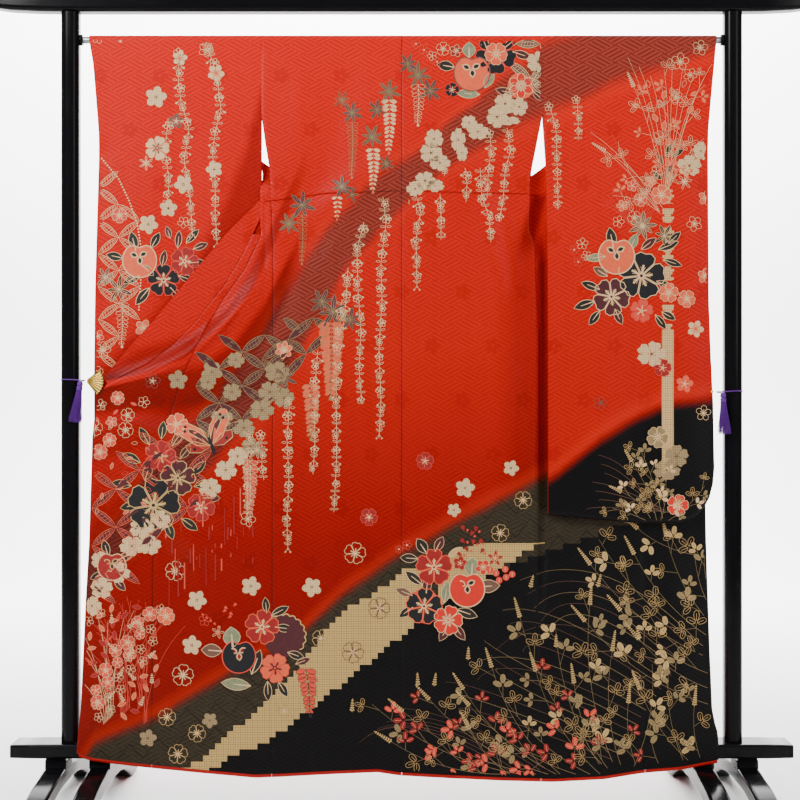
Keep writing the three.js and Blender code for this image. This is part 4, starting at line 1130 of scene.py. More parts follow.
def cone(at, length, width, fill="salmon", rim="cream", base=2, lean=0.0):
    # A hanging flower cone: pairs of small drops down a stem, smaller towards the tip, with one at the end.
    def middle(t):
        return at[0] + lean * t * length + 0.8 * math.sin(t * 4), at[1] + t * length

    steps = max(5, round(length / 4.2))
    line(rim, base, [middle(t) for t in np.linspace(0, 1, 8)], 0.5)
    drop = np.array([(0, 0), (0.30, 0.22), (0.68, 0.30), (1.0, 0.08), (0.98, -0.12), (0.62, -0.26),
                     (0.28, -0.18)])
    for i in range(steps):
        t = (i + 0.3) / steps
        size = width * (0.62 - 0.34 * t ** 1.3)
        for side in (-1, 1):
            angle = side * (1.85 + 0.5 * t + 0.12 * math.sin(i * 2.3))
            ring = turned2(drop * [1, side], angle, middle(t), size)
            if fill:
                patch(fill, base, ring)
            line(rim, base + 1, ring, 0.38, closed=True)
    bud((at[0] + lean * length, at[1] + length), math.pi, width * 0.3, rim, base)


def bud(at, angle, size, name="cream", base=2):
    patch(name, base + 1, turned2(mirrored([(0.6, 0.32), (1.0, 0.36)], (1.05, 0)) + [(0, 0)], angle, at,
                                  size))


def strand(points, start=0.0, name="cream", size=1.0, base=2):
    # A hanging stem with pairs of small leaves, buds and little flowers down its length.
    place, length = pathOf(points)
    line(name, base, [place(at) for at in np.linspace(0, length, max(3, round(length / 4)))], 0.5 * size)
    beat, k, at = 6.0 * size, 0, 3.0
    while at < length - 2:
        x, y = place(at)
        turn = (k + int(start * 10)) % 7
        fade = size * (1.0 - 0.25 * at / length)
        if turn in (0, 4):
            r = (5.0 if turn == 0 else 3.8) * fade
            middle = (x + ((k * 5) % 3 - 1) * 1.4 * fade, y)
            flower(middle, r, None, name, name, "round", k * 0.7, stamens=False, base=base + 1,
                   rimWide=0.6 * fade)
            disc(name, base + 1, middle, 1.3 * fade, 6)
            at += r + 2.0
        elif turn in (2, 6):
            for side in (-1, 1):
                angle = math.pi - side * (0.75 + 0.2 * math.sin(k))
                tip = off((x, y), angle, 4.2 * fade)
                line(name, base, [(x, y), tip], 0.4 * size)
                bud(tip, angle, 3.0 * fade, name, base)
            at += beat * 0.8
        else:
            for side in (-1, 1):
                angle = side * (1.15 + 0.35 * math.sin(k * 1.7))
                leaf(off((x, y + 1.0), angle, 3.4 * fade, 0.6), 5.0 * fade, 2.1 * fade, angle, None, name,
                     None, base, rimWide=0.4 * size)
            at += beat * 0.72
        k += 1


def arc(name, start, middle, end, width=0.5, base=1, taper=0.4, steps=14):
    t = np.linspace(0, 1, steps)[:, None]
    a, b, c = (np.array(p, float) for p in (start, middle, end))
    pts = (1 - t) ** 2 * a + 2 * (1 - t) * t * b + t * t * c
    line(name, base, pts, width, taper=taper)
    return pts


def ear(at, angle, length, name="cream", base=2):
    # A small ear: paired seeds on a fine stalk, smaller towards the tip.
    tip = off(at, angle, length)
    line(name, base, [at, tip], 0.35)
    steps = max(4, round(length / 2.3))
    for i in range(steps):
        t = (i + 0.5) / steps
        for side in (-1, 1):
            bud(off(at, angle, length * t), angle + side * (0.95 - 0.25 * t), 2.5 * (1 - 0.45 * t), name,
                base)
    bud(tip, angle, 1.5, name, base)


def trefoil(at, size, angle, name, filled, base=2):
    # Three oval leaflets on one point.
    for k, a in enumerate((-1.15, 0.0, 1.15)):
        p = off(at, angle + a, size * (0.62 if k != 1 else 0.80))
        ring = turned2([(0.5, 0), (0.38, 0.22), (0.0, 0.30), (-0.38, 0.2), (-0.5, 0), (-0.38, -0.2),
                        (0.0, -0.30), (0.38, -0.22)], angle + a, p, size)
        if filled:
            patch(name, base, ring)
            line("black" if name in ("oldGold", "gold") else "cream", base + 1,
                 turned2([(-0.4, 0), (0.3, 0)], angle + a, p, size), 0.3)
        else:
            line(name, base + 1, ring, 0.38, closed=True)
            line(name, base + 1, turned2([(-0.5, 0), (0.2, 0)], angle + a, p, size), 0.35)


def clover(points, names, size=5.0, gap=7.5, start=0, base=2, stem="oldGold", ears=True):
    # An arching stem of bush clover with three-part leaves on both sides.
    pts = arc(stem, *points, width=0.4, base=base - 1)
    place, length = pathOf(pts)
    at, k = gap, start
    while at < length:
        p, q = place(at), place(at + 1)
        heading = math.atan2(q[0] - p[0], -(q[1] - p[1]))
        name, filled = names[k % len(names)]
        angle = heading + (1 if k % 2 else -1) * (0.75 + 0.35 * math.sin(k * 2.1))
        r = off(p, angle, size * (1.3 + 0.6 * math.sin(k * 1.7)))
        line(stem, base - 1, [p, r], 0.32)
        trefoil(r, size * (0.9 + 0.15 * math.sin(k * 1.3)), angle, name, filled, base)
        at += gap * (0.85 + 0.3 * abs(math.sin(k * 0.9)))
        k += 1
    if ears:
        d = pts[-1] - pts[-2]
        ear(tuple(pts[-1]), math.atan2(d[0], -d[1]), size * 2.2, "gold" if stem == "oldGold" else stem, base)


def fruit(at, r, fill, rim, spots=("leafDark", "cream"), turn=0.0, base=3):
    # A round fruit with a notch at its top and three small leaves on it.
    a = np.linspace(0, 2 * math.pi, 30, endpoint=False)
    wrapped = (a + math.pi) % (2 * math.pi) - math.pi
    reach = 1 - 0.30 * np.exp(-(wrapped / 0.32) ** 2) + 0.05 * np.cos(2 * a)
    ring = turned2(np.stack([reach * np.cos(a) * 0.92, reach * np.sin(a)], 1), turn, at, r)
    patch(fill, base, ring)
    line(rim, base + 1, ring, max(0.5, r * 0.06), closed=True)
    for k, (u, v) in enumerate(((0.30, -0.30), (0.34, 0.22), (-0.02, 0.02))):
        where = turned2([(u, v)], turn, at, r)[0]
        leaf(tuple(where), r * 0.42, r * 0.27, turn + (-1.1, 1.1, 3.0)[k], spots[0], spots[1], None, base + 1,
             rimWide=max(0.4, r * 0.07))


def butterfly(at, size, angle):
    # Two broad upper wings, a panel on each, and two small lower ones.
    wings = (("salmon", 3, [(0, 0), (0.2, 0.5), (0.75, 0.95), (1.15, 0.95), (1.1, 0.55), (0.7, 0.15)]),
             ("maroon", 4, [(0, 0), (0.35, 0.28), (0.75, 0.62), (0.9, 0.6), (0.75, 0.35), (0.35, 0.08)]),
             ("crimson", 3, [(0, 0), (-0.1, 0.45), (0.05, 0.85), (0.32, 0.9), (0.38, 0.55)]))
    for side in (-1, 1):
        for fill, layer, shape in wings:
            ring = turned2([(u, v * side) for u, v in shape], angle, at, size)
            patch(fill, layer, ring)
            line("gold", layer + 1, ring, 0.8, closed=True)
        for u, v in ((0.85, 0.75), (1.0, 0.68), (0.1, 0.62)):
            disc("black", 5, tuple(turned2([(u, v * side)], angle, at, size)[0]), size * 0.06, 6)
    line("black", 6, turned2([(-0.3, 0), (0.0, 0.02), (0.35, 0)], angle, at, size), size * 0.12)
    for side in (-1, 1):
        line("gold", 6, turned2([(0.35, 0), (0.6, side * 0.08), (0.8, side * 0.22)], angle, at, size), 0.4)


def oval(start, end, width, fill=None, rim="cream", base=1, hatch=True):
    # A pointed oval between two places, with a double outline and a hatch.
    a, b = np.array(start, float), np.array(end, float)
    length = float(np.linalg.norm(b - a))
    angle = math.atan2(b[0] - a[0], -(b[1] - a[1]))
    at = tuple((a + b) / 2)
    leaf(at, length, width, angle, fill, rim, None, base, rimWide=0.55)
    leaf(at, length * 0.78, width * 0.5, angle, None, rim, None, base, rimWide=0.4)
    if hatch:
        for t in (-0.22, -0.1, 0.02, 0.14, 0.26):
            line(rim, base + 1, turned2([(t * length, -width * 0.36), ((t - 0.08) * length, width * 0.36)],
                                        angle, at), 0.3)


def lattice(columns, rows, width, inside, fill=None, rim="cream", hatch=True):
    # Pointed ovals that meet in a net of diamonds, where `inside` lets them be.
    (x0, dx, nx), (y0, dy, ny) = columns, rows
    for i in range(nx):
        for j in range(-1, ny):
            a = (x0 + i * dx, y0 + j * dy + (dy / 2 if i % 2 else 0))
            for k in (-1, 1):
                b = (a[0] + dx, a[1] + k * dy / 2)
                middle = ((a[0] + b[0]) / 2, (a[1] + b[1]) / 2)
                if inside(*middle):
                    oval(a, b, width, fill, rim, hatch=hatch)


def dots(name, points, gap, radius, layer=2):
    place, length = pathOf(points)
    for at in np.arange(0, length, gap):
        disc(name, layer, place(at), radius, 6)


def bodyFace(x, z):
    return np.where(x <= along(sideRight, z), rightBackDepth(x, z), rightDepth(x, z))


def onBody(x, z):
    left = np.where(z < 1246, along(freeLeft, z), along(sideLeft, z))
    right = np.where(z < 1038, along(freeRight, z),
                     np.where(z < 1190, along(outerRight, z), along(sideRight, z)))
    return (x > left + 2) & (x < right - 2) & (z > along(hemTable, x) + 4) & (z < cloth["rod"] - 1)


def onSleeve(side):
    def test(x, z):
        inner, outer = along(sleeveInner[side], z), along(sleeveOuter[side], z)
        share = (x - inner) / (outer - inner)
        low = along(sleeveBottom, np.abs(outer - x))
        return (share > 0.008) & (share < 0.99) & (z > low + 4) & (z < cloth["rod"] - 1)
    return test


def layPrint(name, surface, inside, face=-1):
    # Joins the marks made so far into one mesh on the cloth, leaves out what falls off it, and starts afresh.
    points = np.concatenate([m[2] for m in marks])
    counts = [len(m[2]) for m in marks]
    starts = np.concatenate([[0], np.cumsum(counts)[:-1]])
    x, z = toCloth(points[:, 0], points[:, 1])
    fits = inside(x, z)
    lot = 60000
    depth = np.concatenate([surface(x[a:a + lot], z[a:a + lot]) for a in range(0, len(x), lot)])
    layer = np.repeat([m[1] for m in marks], counts)
    y = depth + face * (printed["lift"] + printed["layer"] * layer)
    faces, which = [], []
    for (inkName, _, _, own), start in zip(marks, starts):
        slotAt = inkNames.index(inkName)
        for f in own:
            g = [start + i for i in f]
            if all(fits[i] for i in g):
                faces.append(g if face < 0 else g[::-1])
                which.append(slotAt)
    obj = joinedMesh(name, np.stack([x, y, z], 1), faces)
    mesh = obj.data
    finishPiece(obj, name, [], list(inkMats.values()), 30)
    mesh.polygons.foreach_set("material_index", which)
    flip = face * np.array([p.normal.y for p in mesh.polygons]) < 0
    for polygon, wrong in zip(mesh.polygons, flip):
        if wrong:
            polygon.flip()
    editAll(obj, bpy.ops.mesh.delete_loose)
    print(name, len(faces))
    marks.clear()
    return obj


rowForms = dict(
    flower=lambda c, r, size, turn, fill, rim, heart="cream", form="notched", petals=5, base=2:
        flower((c, r), size, fill, rim, heart, form, turn, petals, base=base),
    netFlower=lambda c, r, size, turn, name="net": netFlower((c, r), size, turn, name),
    netCloud=lambda c, r, w, h, turn, name="net": netCloud((c, r), w, h, turn, name),
    leaf=lambda c, r, length, width, angle, fill="leafDark", rim="cream", vein="cream", base=1:
        leaf((c, r), length, width, angle, fill, rim, vein, base),
    starLeaf=lambda c, r, size, turn, fill="mauve", rim="oldGold", count=7:
        starLeaf((c, r), size, fill, rim, count, turn),
    cone=lambda c, r, length, width, fill="salmon", rim="cream", lean=0.0:
        cone((c, r), length, width, fill, rim, lean=lean),
    oval=lambda c0, r0, c1, r1, width, fill, rim: oval((c0, r0), (c1, r1), width, fill, rim),
    fruit=lambda c, r, size, fill, rim, leaves="leafDark", edges="cream", base=3:
        fruit((c, r), size, fill, rim, (leaves, edges), base=base),
    disc=lambda c, r, radius, name, layer, sides=8: disc(name, layer, (c, r), radius, sides))


def valueOf(word):
    if word == "-":
        return None
    if word[0].isalpha():
        return word
    return float(word) if "." in word else int(word)


def draw(kind, text, rest=""):
    # Rows parted by commas or line ends: a place, sizes, then inks, which are `rest` where a row names none.
    for row in text.replace(",", "\n").splitlines():
        values = [valueOf(word) for word in row.split()]
        if values and all(type(value) in (int, float) for value in values):
            values += [valueOf(word) for word in rest.split()]
        if values:
            rowForms[kind](*values)


def strandsFrom(text, name="cream", size=1.0):
    for k, row in enumerate(text.strip().splitlines()):
        numbers = [float(v) for v in row.split()]
        strand(list(zip(numbers[::2], numbers[1::2])), start=k * 0.3, name=name, size=size)


# left sleeve
def leftSleeveMotifs():
    lattice((76, 21, 4), (204, 33, 6), 7, lambda c, r: c > 88 and r < 372 and c < 100 + 42 * math.sin(
        math.pi * min(max((r - 150) / 230, 0), 1)) and r > 165, None, "cream")
    lattice((76, 21, 4), (204, 33, 6), 5.5, lambda c, r: c < 104 and 305 < r < 385, "rose", "cream", False)
    dots("cream", [(101, 158), (118, 178), (129, 201), (137, 224), (141, 250), (140, 283), (138, 312)], 3.0,
         0.95, 0)
    strandsFrom("""
        180 50 178 77 181 103 189 128 184 160 187 184 190 200 192 236
        206 42 216 72 221 110 217 124 212 151 215 180 215 214 217 246
        168 118 165 150 169 182 166 208""")
    draw("flower", """
        180 58 8 0.2 cream taupe salmon round, 216 73 9 0.5 cream rose salmon round
        157 148 12.5 0.3 cream salmon taupe, 176 121 8 0.1 taupe rose cream round
        206 50 7.5 0.4 - cream cream round, 146 163 7.5 0 rose cream cream narrow 6
        119 215 8 0.6 rose cream""")
    draw("netFlower", "156 97 11 0.2, 183 184 9.5 0.8, 168 208 9 0.1, 148 224 10 0.5, 214 169 8.5 0.9")
    draw("leaf", """
        133 241 20 9.5 -0.25, 155 240 18 8 0.5, 114 256 18 8.5 -1.35, 131 279 19 8 -2
        147 270 16 8 2.3 leafLight, 163 258 17 7 0.2 maroon, 142 296 22 9 -2.45, 176 294 19 8 2.4
        186 278 17 7 1.9, 178 239 18 7 0.1 maroon, 192 236 19 7 0.75, 200 246 16 7 1.2 maroon
        196 262 17 7 1.5, 168 232 13 6 -0.3 mauve""")
    draw("starLeaf", "118 289 15 0.15 maroon cream, 104 277 11 0.4 mauve cream")
    draw("cone", "121 302 42 12 -")
    draw("fruit", "139 260 18 salmon cream")
    draw("flower", """
        184 261 14.5 0.35 crimson rose, 163 280 16.5 0 black rose, 143 328 9 0.4 salmon cream cream round
        101 350 9 0.2, 96 336 7 0.6 scarlet cream cream round, 98 38 6 0.2
        120 38 5 0.5 cream rose cream round, 96 372 6 0.1 - cream, 183 222 6 0.7""", "- cream cream round")


# right sleeve
def rightSleeveMotifs():
    for k in range(9):
        arc("cream", (665 + k % 3, 196), (656 + 4 * k, 120 - 3 * k), (628 + 11 * k, 58 + 9 * (k % 4)), 0.4)
    for k in range(6):
        arc("rose" if k % 2 else "cream", (660, 214), (640 - 5 * k, 168), (590 + 7 * k, 132 + 10 * (k % 3)),
            0.4)
    pale = [("cream", False), ("salmon", True), ("cream", False)]
    for k, (c0, r0, c1, r1) in enumerate(((664, 200, 634, 88), (668, 190, 704, 78), (662, 208, 606, 152),
                                          (666, 196, 664, 70), (670, 186, 712, 132), (660, 214, 612, 196))):
        middle = ((c0 + c1) / 2 + (6 if c1 < c0 else -6), (r0 + r1) / 2 - 8)
        clover(((c0, r0), middle, (c1, r1)), pale, 7.0, 13.0, k, stem="cream", ears=k % 2 == 0)
    draw("leaf", """
        664 95 9 5 0.3, 672 92 9 5 -0.2 - cream - 2, 676 100 9 5 0.9 - cream - 2
        660 104 9 5 -0.9 - cream - 2, 655 118 9 5 -0.6, 664 126 10 5 0.1, 674 124 9 5 0.8 - cream - 2
        656 136 9 5 -0.7 - cream - 2, 668 142 9 5 0.6, 690 110 9 5 0.8, 640 92 8 4 -1 - cream - 2
        648 84 8 4 -0.3 - cream - 2, 684 84 8 4 0.4 - cream - 2, 694 94 8 4 1.2, 636 106 8 4 -1.3""",
         "salmon cream - 2")
    draw("flower", "680 62 9 0.1, 690 75 7 0.5, 700 48 8 0.2, 676 98 7 0.9", "- cream cream round")
    draw("leaf", """
        668 150 13 5 0.4, 678 153 13 5 1, 660 160 12 5 -0.5 taupe cream -, 670 168 12 5 0.6 mauve cream -
        657 176 12 5 -0.8""", "leafDark cream -")
    draw("netCloud", "689 166 20 17 0, 701 151 13 15 0")
    draw("flower", """
        684 182 8 0.3 - cream cream narrow 6, 706 198 8 0.2, 694 224 8 0.8 - cream cream round
        705 276 8 0.1, 695 329 9 0.4 cream rose salmon round, 684 384 9 0.2 salmon rose cream round""",
         "salmon cream cream round")
    for i in range(14):
        a = -0.9 + i * 0.13
        arc("rose", (636, 232), (636 + 26 * math.sin(a), 206),
            (636 + 50 * math.sin(a), 232 - 46 * math.cos(a)), 0.45)
    draw("flower", """
        632 186 6 0.2 rose cream cream round, 640 200 7 0.4 rose cream
        622 206 6 0.9 salmon cream cream round, 650 182 6 0.5 salmon cream cream round
        661 195 10 0.1 salmon cream, 656 172 6 0.6, 618 222 6 0.3, 634 218 7 0.7 - cream, 582 244 6 0.1
        574 250 5 0.5 - rose cream round, 586 256 5 0.8, 578 262 5 0.2 - rose cream round""",
         "- cream cream round")
    draw("starLeaf", "642 226 15 0.1 taupe cream 9, 664 236 12 0.5 leafDark cream")
    draw("leaf", """
        611 238 21 10 -0.2, 595 258 20 8 -1.7 leafLight, 633 242 17 9 0.4 leafLight
        648 244 19 8 0.9 maroon, 668 246 22 8 1.2, 674 238 17 7 0.8, 672 263 20 7 1.9, 590 286 20 8 -1.2
        584 305 22 9 -1.9, 594 318 18 8 -2.5, 618 317 17 8 2.7 maroon, 664 285 18 7 2, 660 322 18 7 2.5
        668 316 16 7 2.1, 600 272 17 8 -1 taupe""")
    draw("fruit", "616 256 19 salmon cream")
    draw("flower", """
        641 276 24 0.2 black cream, 611 297 19 0.5 maroon cream, 668 293 10 0.1, 686 299 9 0.6
        641 311 12 0.2 rose scarlet""", "salmon cream")
    draw("netCloud", "651 354 24 20 0.3")
    draw("flower", """
        662 368 9 0.2 crimson rose, 600 403 7 0.3 - taupe taupe round, 703 413 8 0.1 - cream cream round
        657 437 11 0.5 oldGold cream""")
    draw("netCloud", "676 456 19 18 0, 666 470 22 16 0.5", "netBrown")
    strandsFrom("549 104 556 130 557 168 558 210", size=0.95)
    strandsFrom("577 97 578 118 578 140", size=0.9)
    names = [("gold", False), ("cream", True), ("gold", False), ("oldGold", True)]
    for k, (a, b, c) in enumerate((((656, 520), (650, 490), (632, 462)),
                                   ((660, 520), (668, 494), (664, 474)),
                                   ((650, 518), (640, 500), (622, 492)),
                                   ((668, 520), (690, 506), (704, 486)),
                                   ((662, 518), (654, 480), (640, 450)),
                                   ((645, 520), (628, 512), (612, 508)))):
        clover((a, b, c), names, 6.2, 7.5, k, ears=k < 3)
    for k in range(7):
        arc("taupe", (645 + 4 * k, 500 + 2 * k), (630 - 6 * k, 462 + 7 * k),
            (598 - 2 * k + 5 * (k % 3), 455 + 9 * k), 0.5)
    draw("flower", "677 505 11 0.3 scarlet cream")


# the body above the black field
def upperBodyMotifs():
    # below the right shoulder
    draw("oval", """
        508 62 530 78 8.5, 530 78 552 66 8.5, 505 92 530 78 8.5, 530 78 545 95 8.5, 540 44 556 62 8.5
        500 100 520 108 8.5, 516 44 540 44 8.5""", "taupe cream")
    draw("netCloud", """
        538 62 19 17 0.2, 553 55 17 18 0.5, 555 73 20 18 0.1, 567 66 16 20 0.7, 570 80 15 14 0.2
        505 104 18 17 0.3, 497 117 17 18 0.6, 519 107 14 15 0.1, 508 121 20 7 -0.5, 469 123 13 12 0.5
        478 132 17 13 0.1, 434 139 15 16 0.7, 431 153 18 17 0.2, 440 163 17 13 0.4, 458 140 12 19 0.1
        462 153 9 14 0, 425 181 17 15 0.4, 415 189 14 12 0.9, 435 186 15 10 -0.6""")
    draw("leaf", """
        446 66 18 10 -1.4, 522 55 20 8 1.9 maroon, 512 42 20 8 0.9, 505 92 20 8 -1.3 maroon
        537 74 16 7 0.5, 542 85 17 7 1.6, 538 96 15 7 2.3 maroon, 489 80 19 9 0.5 leafLight
        468 94 24 9 -1.5 leafLight, 469 50 16 13 0 leafLight, 484 42 16 8 -0.4""")
    draw("fruit", "472 73 19 salmon taupe")
    draw("flower", "496 54 21 0.63 black rose, 496 54 11.5 0.63 salmon cream cream notched 5 5")
    draw("disc", "521 86 13.5 salmon 1 20")
    draw("flower", """
        521 86 13 0 scarlet cream cream round 6, 452 90 7.5 0.2 black rose, 443 49 7 0.1 - cream
        424 50 6 0.4, 432 56 5 0.9 - cream cream round, 456 51 6.5 0.2 crimson cream cream round
        416 44 5 0.6, 437 62 4.5 0.1""", "- rose cream round")
    draw("starLeaf", """
        418 75 14 0 taupe, 430 91 13 0.5, 408 64 11 0.3, 389 92 13 0.1 taupe, 352 113 12 0.2
        372 137 13 0.4 taupe, 377 110 11 0.1, 342 100 10 0.5 crimson, 386 164 9 0.2""")
    draw("cone", "418 84 39 12 -, 389 99 52 13, 352 122 54 10 - oldGold, 373 148 42 12", "cream salmon")
    strandsFrom("""
        490 131 491 150 488 176 487 198
        507 128 510 152 505 172 503 200 499 222
        465 168 467 184 466 202
        440 194 441 216 441 240
        416 196 421 210 416 240 417 288
        480 168 482 196 489 216 491 242
        447 168 444 176""")


def middleBodyMotifs():
    draw("starLeaf", "302 205 15 0.1, 289 224 12 0.5 taupe")
    draw("cone", "302 214 48 9 - oldGold")
    draw("starLeaf", "342 187 12 0, 352 195 9 0.3 mauve oldGold 5")
    draw("cone", "337 196 22 9 cream salmon")
    draw("oval", """
        288 340 314 318 8, 284 318 300 332 8, 262 360 288 340 8, 288 340 306 354 8, 306 354 330 332 8
        262 360 280 376 8, 306 354 284 378 8, 314 318 330 332 8""", "maroon oldGold")
    draw("starLeaf", "333 312 18 0.1, 322 302 14 0.4, 350 320 13 0.2, 285 378 13 0.2")
    draw("cone", "331 322 72 21, 311 384 52 15", "salmon oldGold")
    draw("flower", "284 350 9 0.2 salmon cream cream round 6")
    draw("netCloud", """
        277 372 20 17 0.3, 270 392 19 17 0.8, 284 398 17 16 0.1, 262 410 20 17 0.4""", "netBrown")
    strandsFrom("""
        409 200 409 204
        383 197 386 224 381 262 382 300 379 350 381 400 379 438
        364 222 357 250 358 290 361 330 359 370 362 404
        348 268 346 300 343 330
        342 300 338 352 336 400 337 450 334 512
        318 350 314 400 315 440 313 474
        290 398 287 440 289 480 287 520 288 550
        262 432 262 470 264 480
        249 430 247 470 248 515
        264 172 268 186 265 200 269 236""")
    lattice((196, 23, 5), (318, 34, 6), 8,
            lambda c, r: 0 < (r - 318) + (c - 200) * 1.05 - 40 < 118 and c < 290 and 330 < r < 430,
            "maroon", "oldGold")
    draw("netCloud", """
        208 382 13 13 0.2, 232 392 15 14 0.5, 222 418 18 16 0.1, 244 428 18 15 0.6, 251 446 15 13 0.2
        236 360 14 13 0.4""", "netBrown")


def lowerLeftMotifs():
    lattice((92, 24, 5), (470, 38, 5), 8, lambda c, r: c < 212 and 440 < r < 625 and r + 0.9 * c < 690
            and r + 0.9 * c > 560, "maroon", "salmon")
    draw("netCloud", """
        142 528 20 17 0.4, 160 520 18 16 0.1, 132 546 20 16 0.7, 150 545 18 16 0.2, 118 572 20 17 0.5
        102 588 18 17 0.1, 210 488 18 16 0.4, 226 470 18 16 0.6, 92 606 16 16 0.3, 238 456 16 15 0.2
        100 560 14 14 0.3""")
    for k in range(30):
        c = 166 + 3.1 * k
        top = 470 + 60 * abs(math.sin(k * 1.3)) + (250 - c) * 0.5
        line("crimson" if k % 3 else "rose", 1, [(c, top), (c, top + 26 + 14 * math.sin(k * 2.1))],
             0.8 if k % 2 else 1.4)
    draw("leaf", """
        145 436 20 9 -0.5, 163 430 18 8 0.1, 178 438 19 8 0.6 maroon gold gold, 132 458 20 9 -1.1
        148 472 18 9 0.3 maroon gold gold, 122 484 20 9 -1.4, 130 506 20 9 -1.8
        140 524 20 9 -2.4 maroon gold gold, 170 530 20 9 2.8, 190 524 20 9 2.2, 199 468 20 8 0.8
        203 484 19 8 1.3, 186 452 17 8 0.7 maroon gold gold, 212 498 17 8 1.6 maroon gold gold""",
         "leafDark gold gold")
    draw("flower", """
        161 456 16 0.3 crimson rose gold, 178 478 18 0.1 maroon gold gold, 201 507 14.5 0.5 crimson rose
        154 505 27 0.15 black gold gold""")
    butterfly((212, 446), 27, -0.35)
    draw("starLeaf", "257 450 11 0.3 taupe cream")
    draw("cone", "250 460 54 13 rose")
    draw("flower", "177 424 11 0.3 salmon cream")
    draw("fruit", "112 566 15 crimson cream maroon gold")
    draw("leaf", "106 548 18 8 -0.3, 126 556 18 8 1.1, 98 576 16 8 -1.9, 120 584 17 8 2.4 maroon")
    for k, (c, r) in enumerate(((101, 405), (118, 398), (95, 428), (112, 422), (128, 415), (100, 452),
                                (144, 402), (110, 440), (126, 430))):
        flower((c, r), 6 + k % 3, "rose" if k % 2 else None, "cream", "cream",
               "notched" if k % 3 else "round", k * 0.7)
    for k in range(24):
        c, r = 92 + (k * 37 % 60), 396 + (k * 23 % 130)
        leaf((c, r), 7, 3, k * 1.9, None if k % 2 else "rose", "cream" if k % 3 else "rose", None, 2)


def hemLeftMotifs():
    for k in range(30):
        start = (104 + (k * 17 % 50), 724 - (k * 7 % 20))
        a = -1.1 + (k * 13 % 30) / 30 * 1.9
        end = (start[0] + 60 * math.sin(a), start[1] - 95 * math.cos(a * 0.8) - (k % 5) * 6)
        arc("rose" if k % 3 else "cream", start, (start[0] + 8 * math.sin(a), (start[1] + end[1]) / 2 - 14),
            end, 0.45)
    for k in range(60):
        c = 88 + (k * 29 % 74)
        r = 606 + (k * 41 % 116)
        if c > 140 and r > 690:
            continue
        kind = k % 4
        if kind == 0:
            flower((c, r), 5.5 + k % 3, "rose", "cream", "cream", "notched", k * 0.5)
        elif kind == 1:
            leaf((c, r), 10, 4.5, k * 0.9 - 1, "crimson", "rose", None, 2)
        elif kind == 2:
            leaf((c, r), 9, 4, k * 1.3, "salmon", "cream", None, 2)
        else:
            flower((c, r), 5, None, "cream", "cream", "round", k * 0.3)
    for k in range(26):
        c, r = 90 + (k * 31 % 66), 610 + (k * 37 % 100)
        ear((c, r), -0.8 + (k % 5) * 0.4, 9, "rose" if k % 2 else "cream", 2)


def scatteredMotifs():
    draw("flower", """
        175 571 10 0.2 - cream, 166 616 9 0.5 salmon cream, 183 675 11 0.1 - cream
        248 519 8 0.4 - cream cream round, 355 553 11 0.2 - cream, 369 517 9 0.6 crimson rose
        425 461 9 0.1 crimson rose, 153 381 8 0.2 - taupe cream round, 167 717 9 0.2, 197 733 9 0.5
        178 754 10 0.1, 321 638 9 0.4, 284 711 9 0.2, 379 608 11 0.3 - taupe, 353 652 11 0.5 - taupe
        500 533 9 0.2, 523 500 9 0.6""", "- gold")
    draw("netFlower", """
        192 645 10 0.1, 197 600 10 0.5, 251 586 10 0.3, 312 587 10 0.8, 465 488 10 0.2, 454 510 7 0.5
        511 468 8 0.4, 178 380 10 0.1 netBrown, 212 372 11 0.6 netBrown, 148 738 9 0.2 netBrown
        210 720 8 0.7 netBrown""")


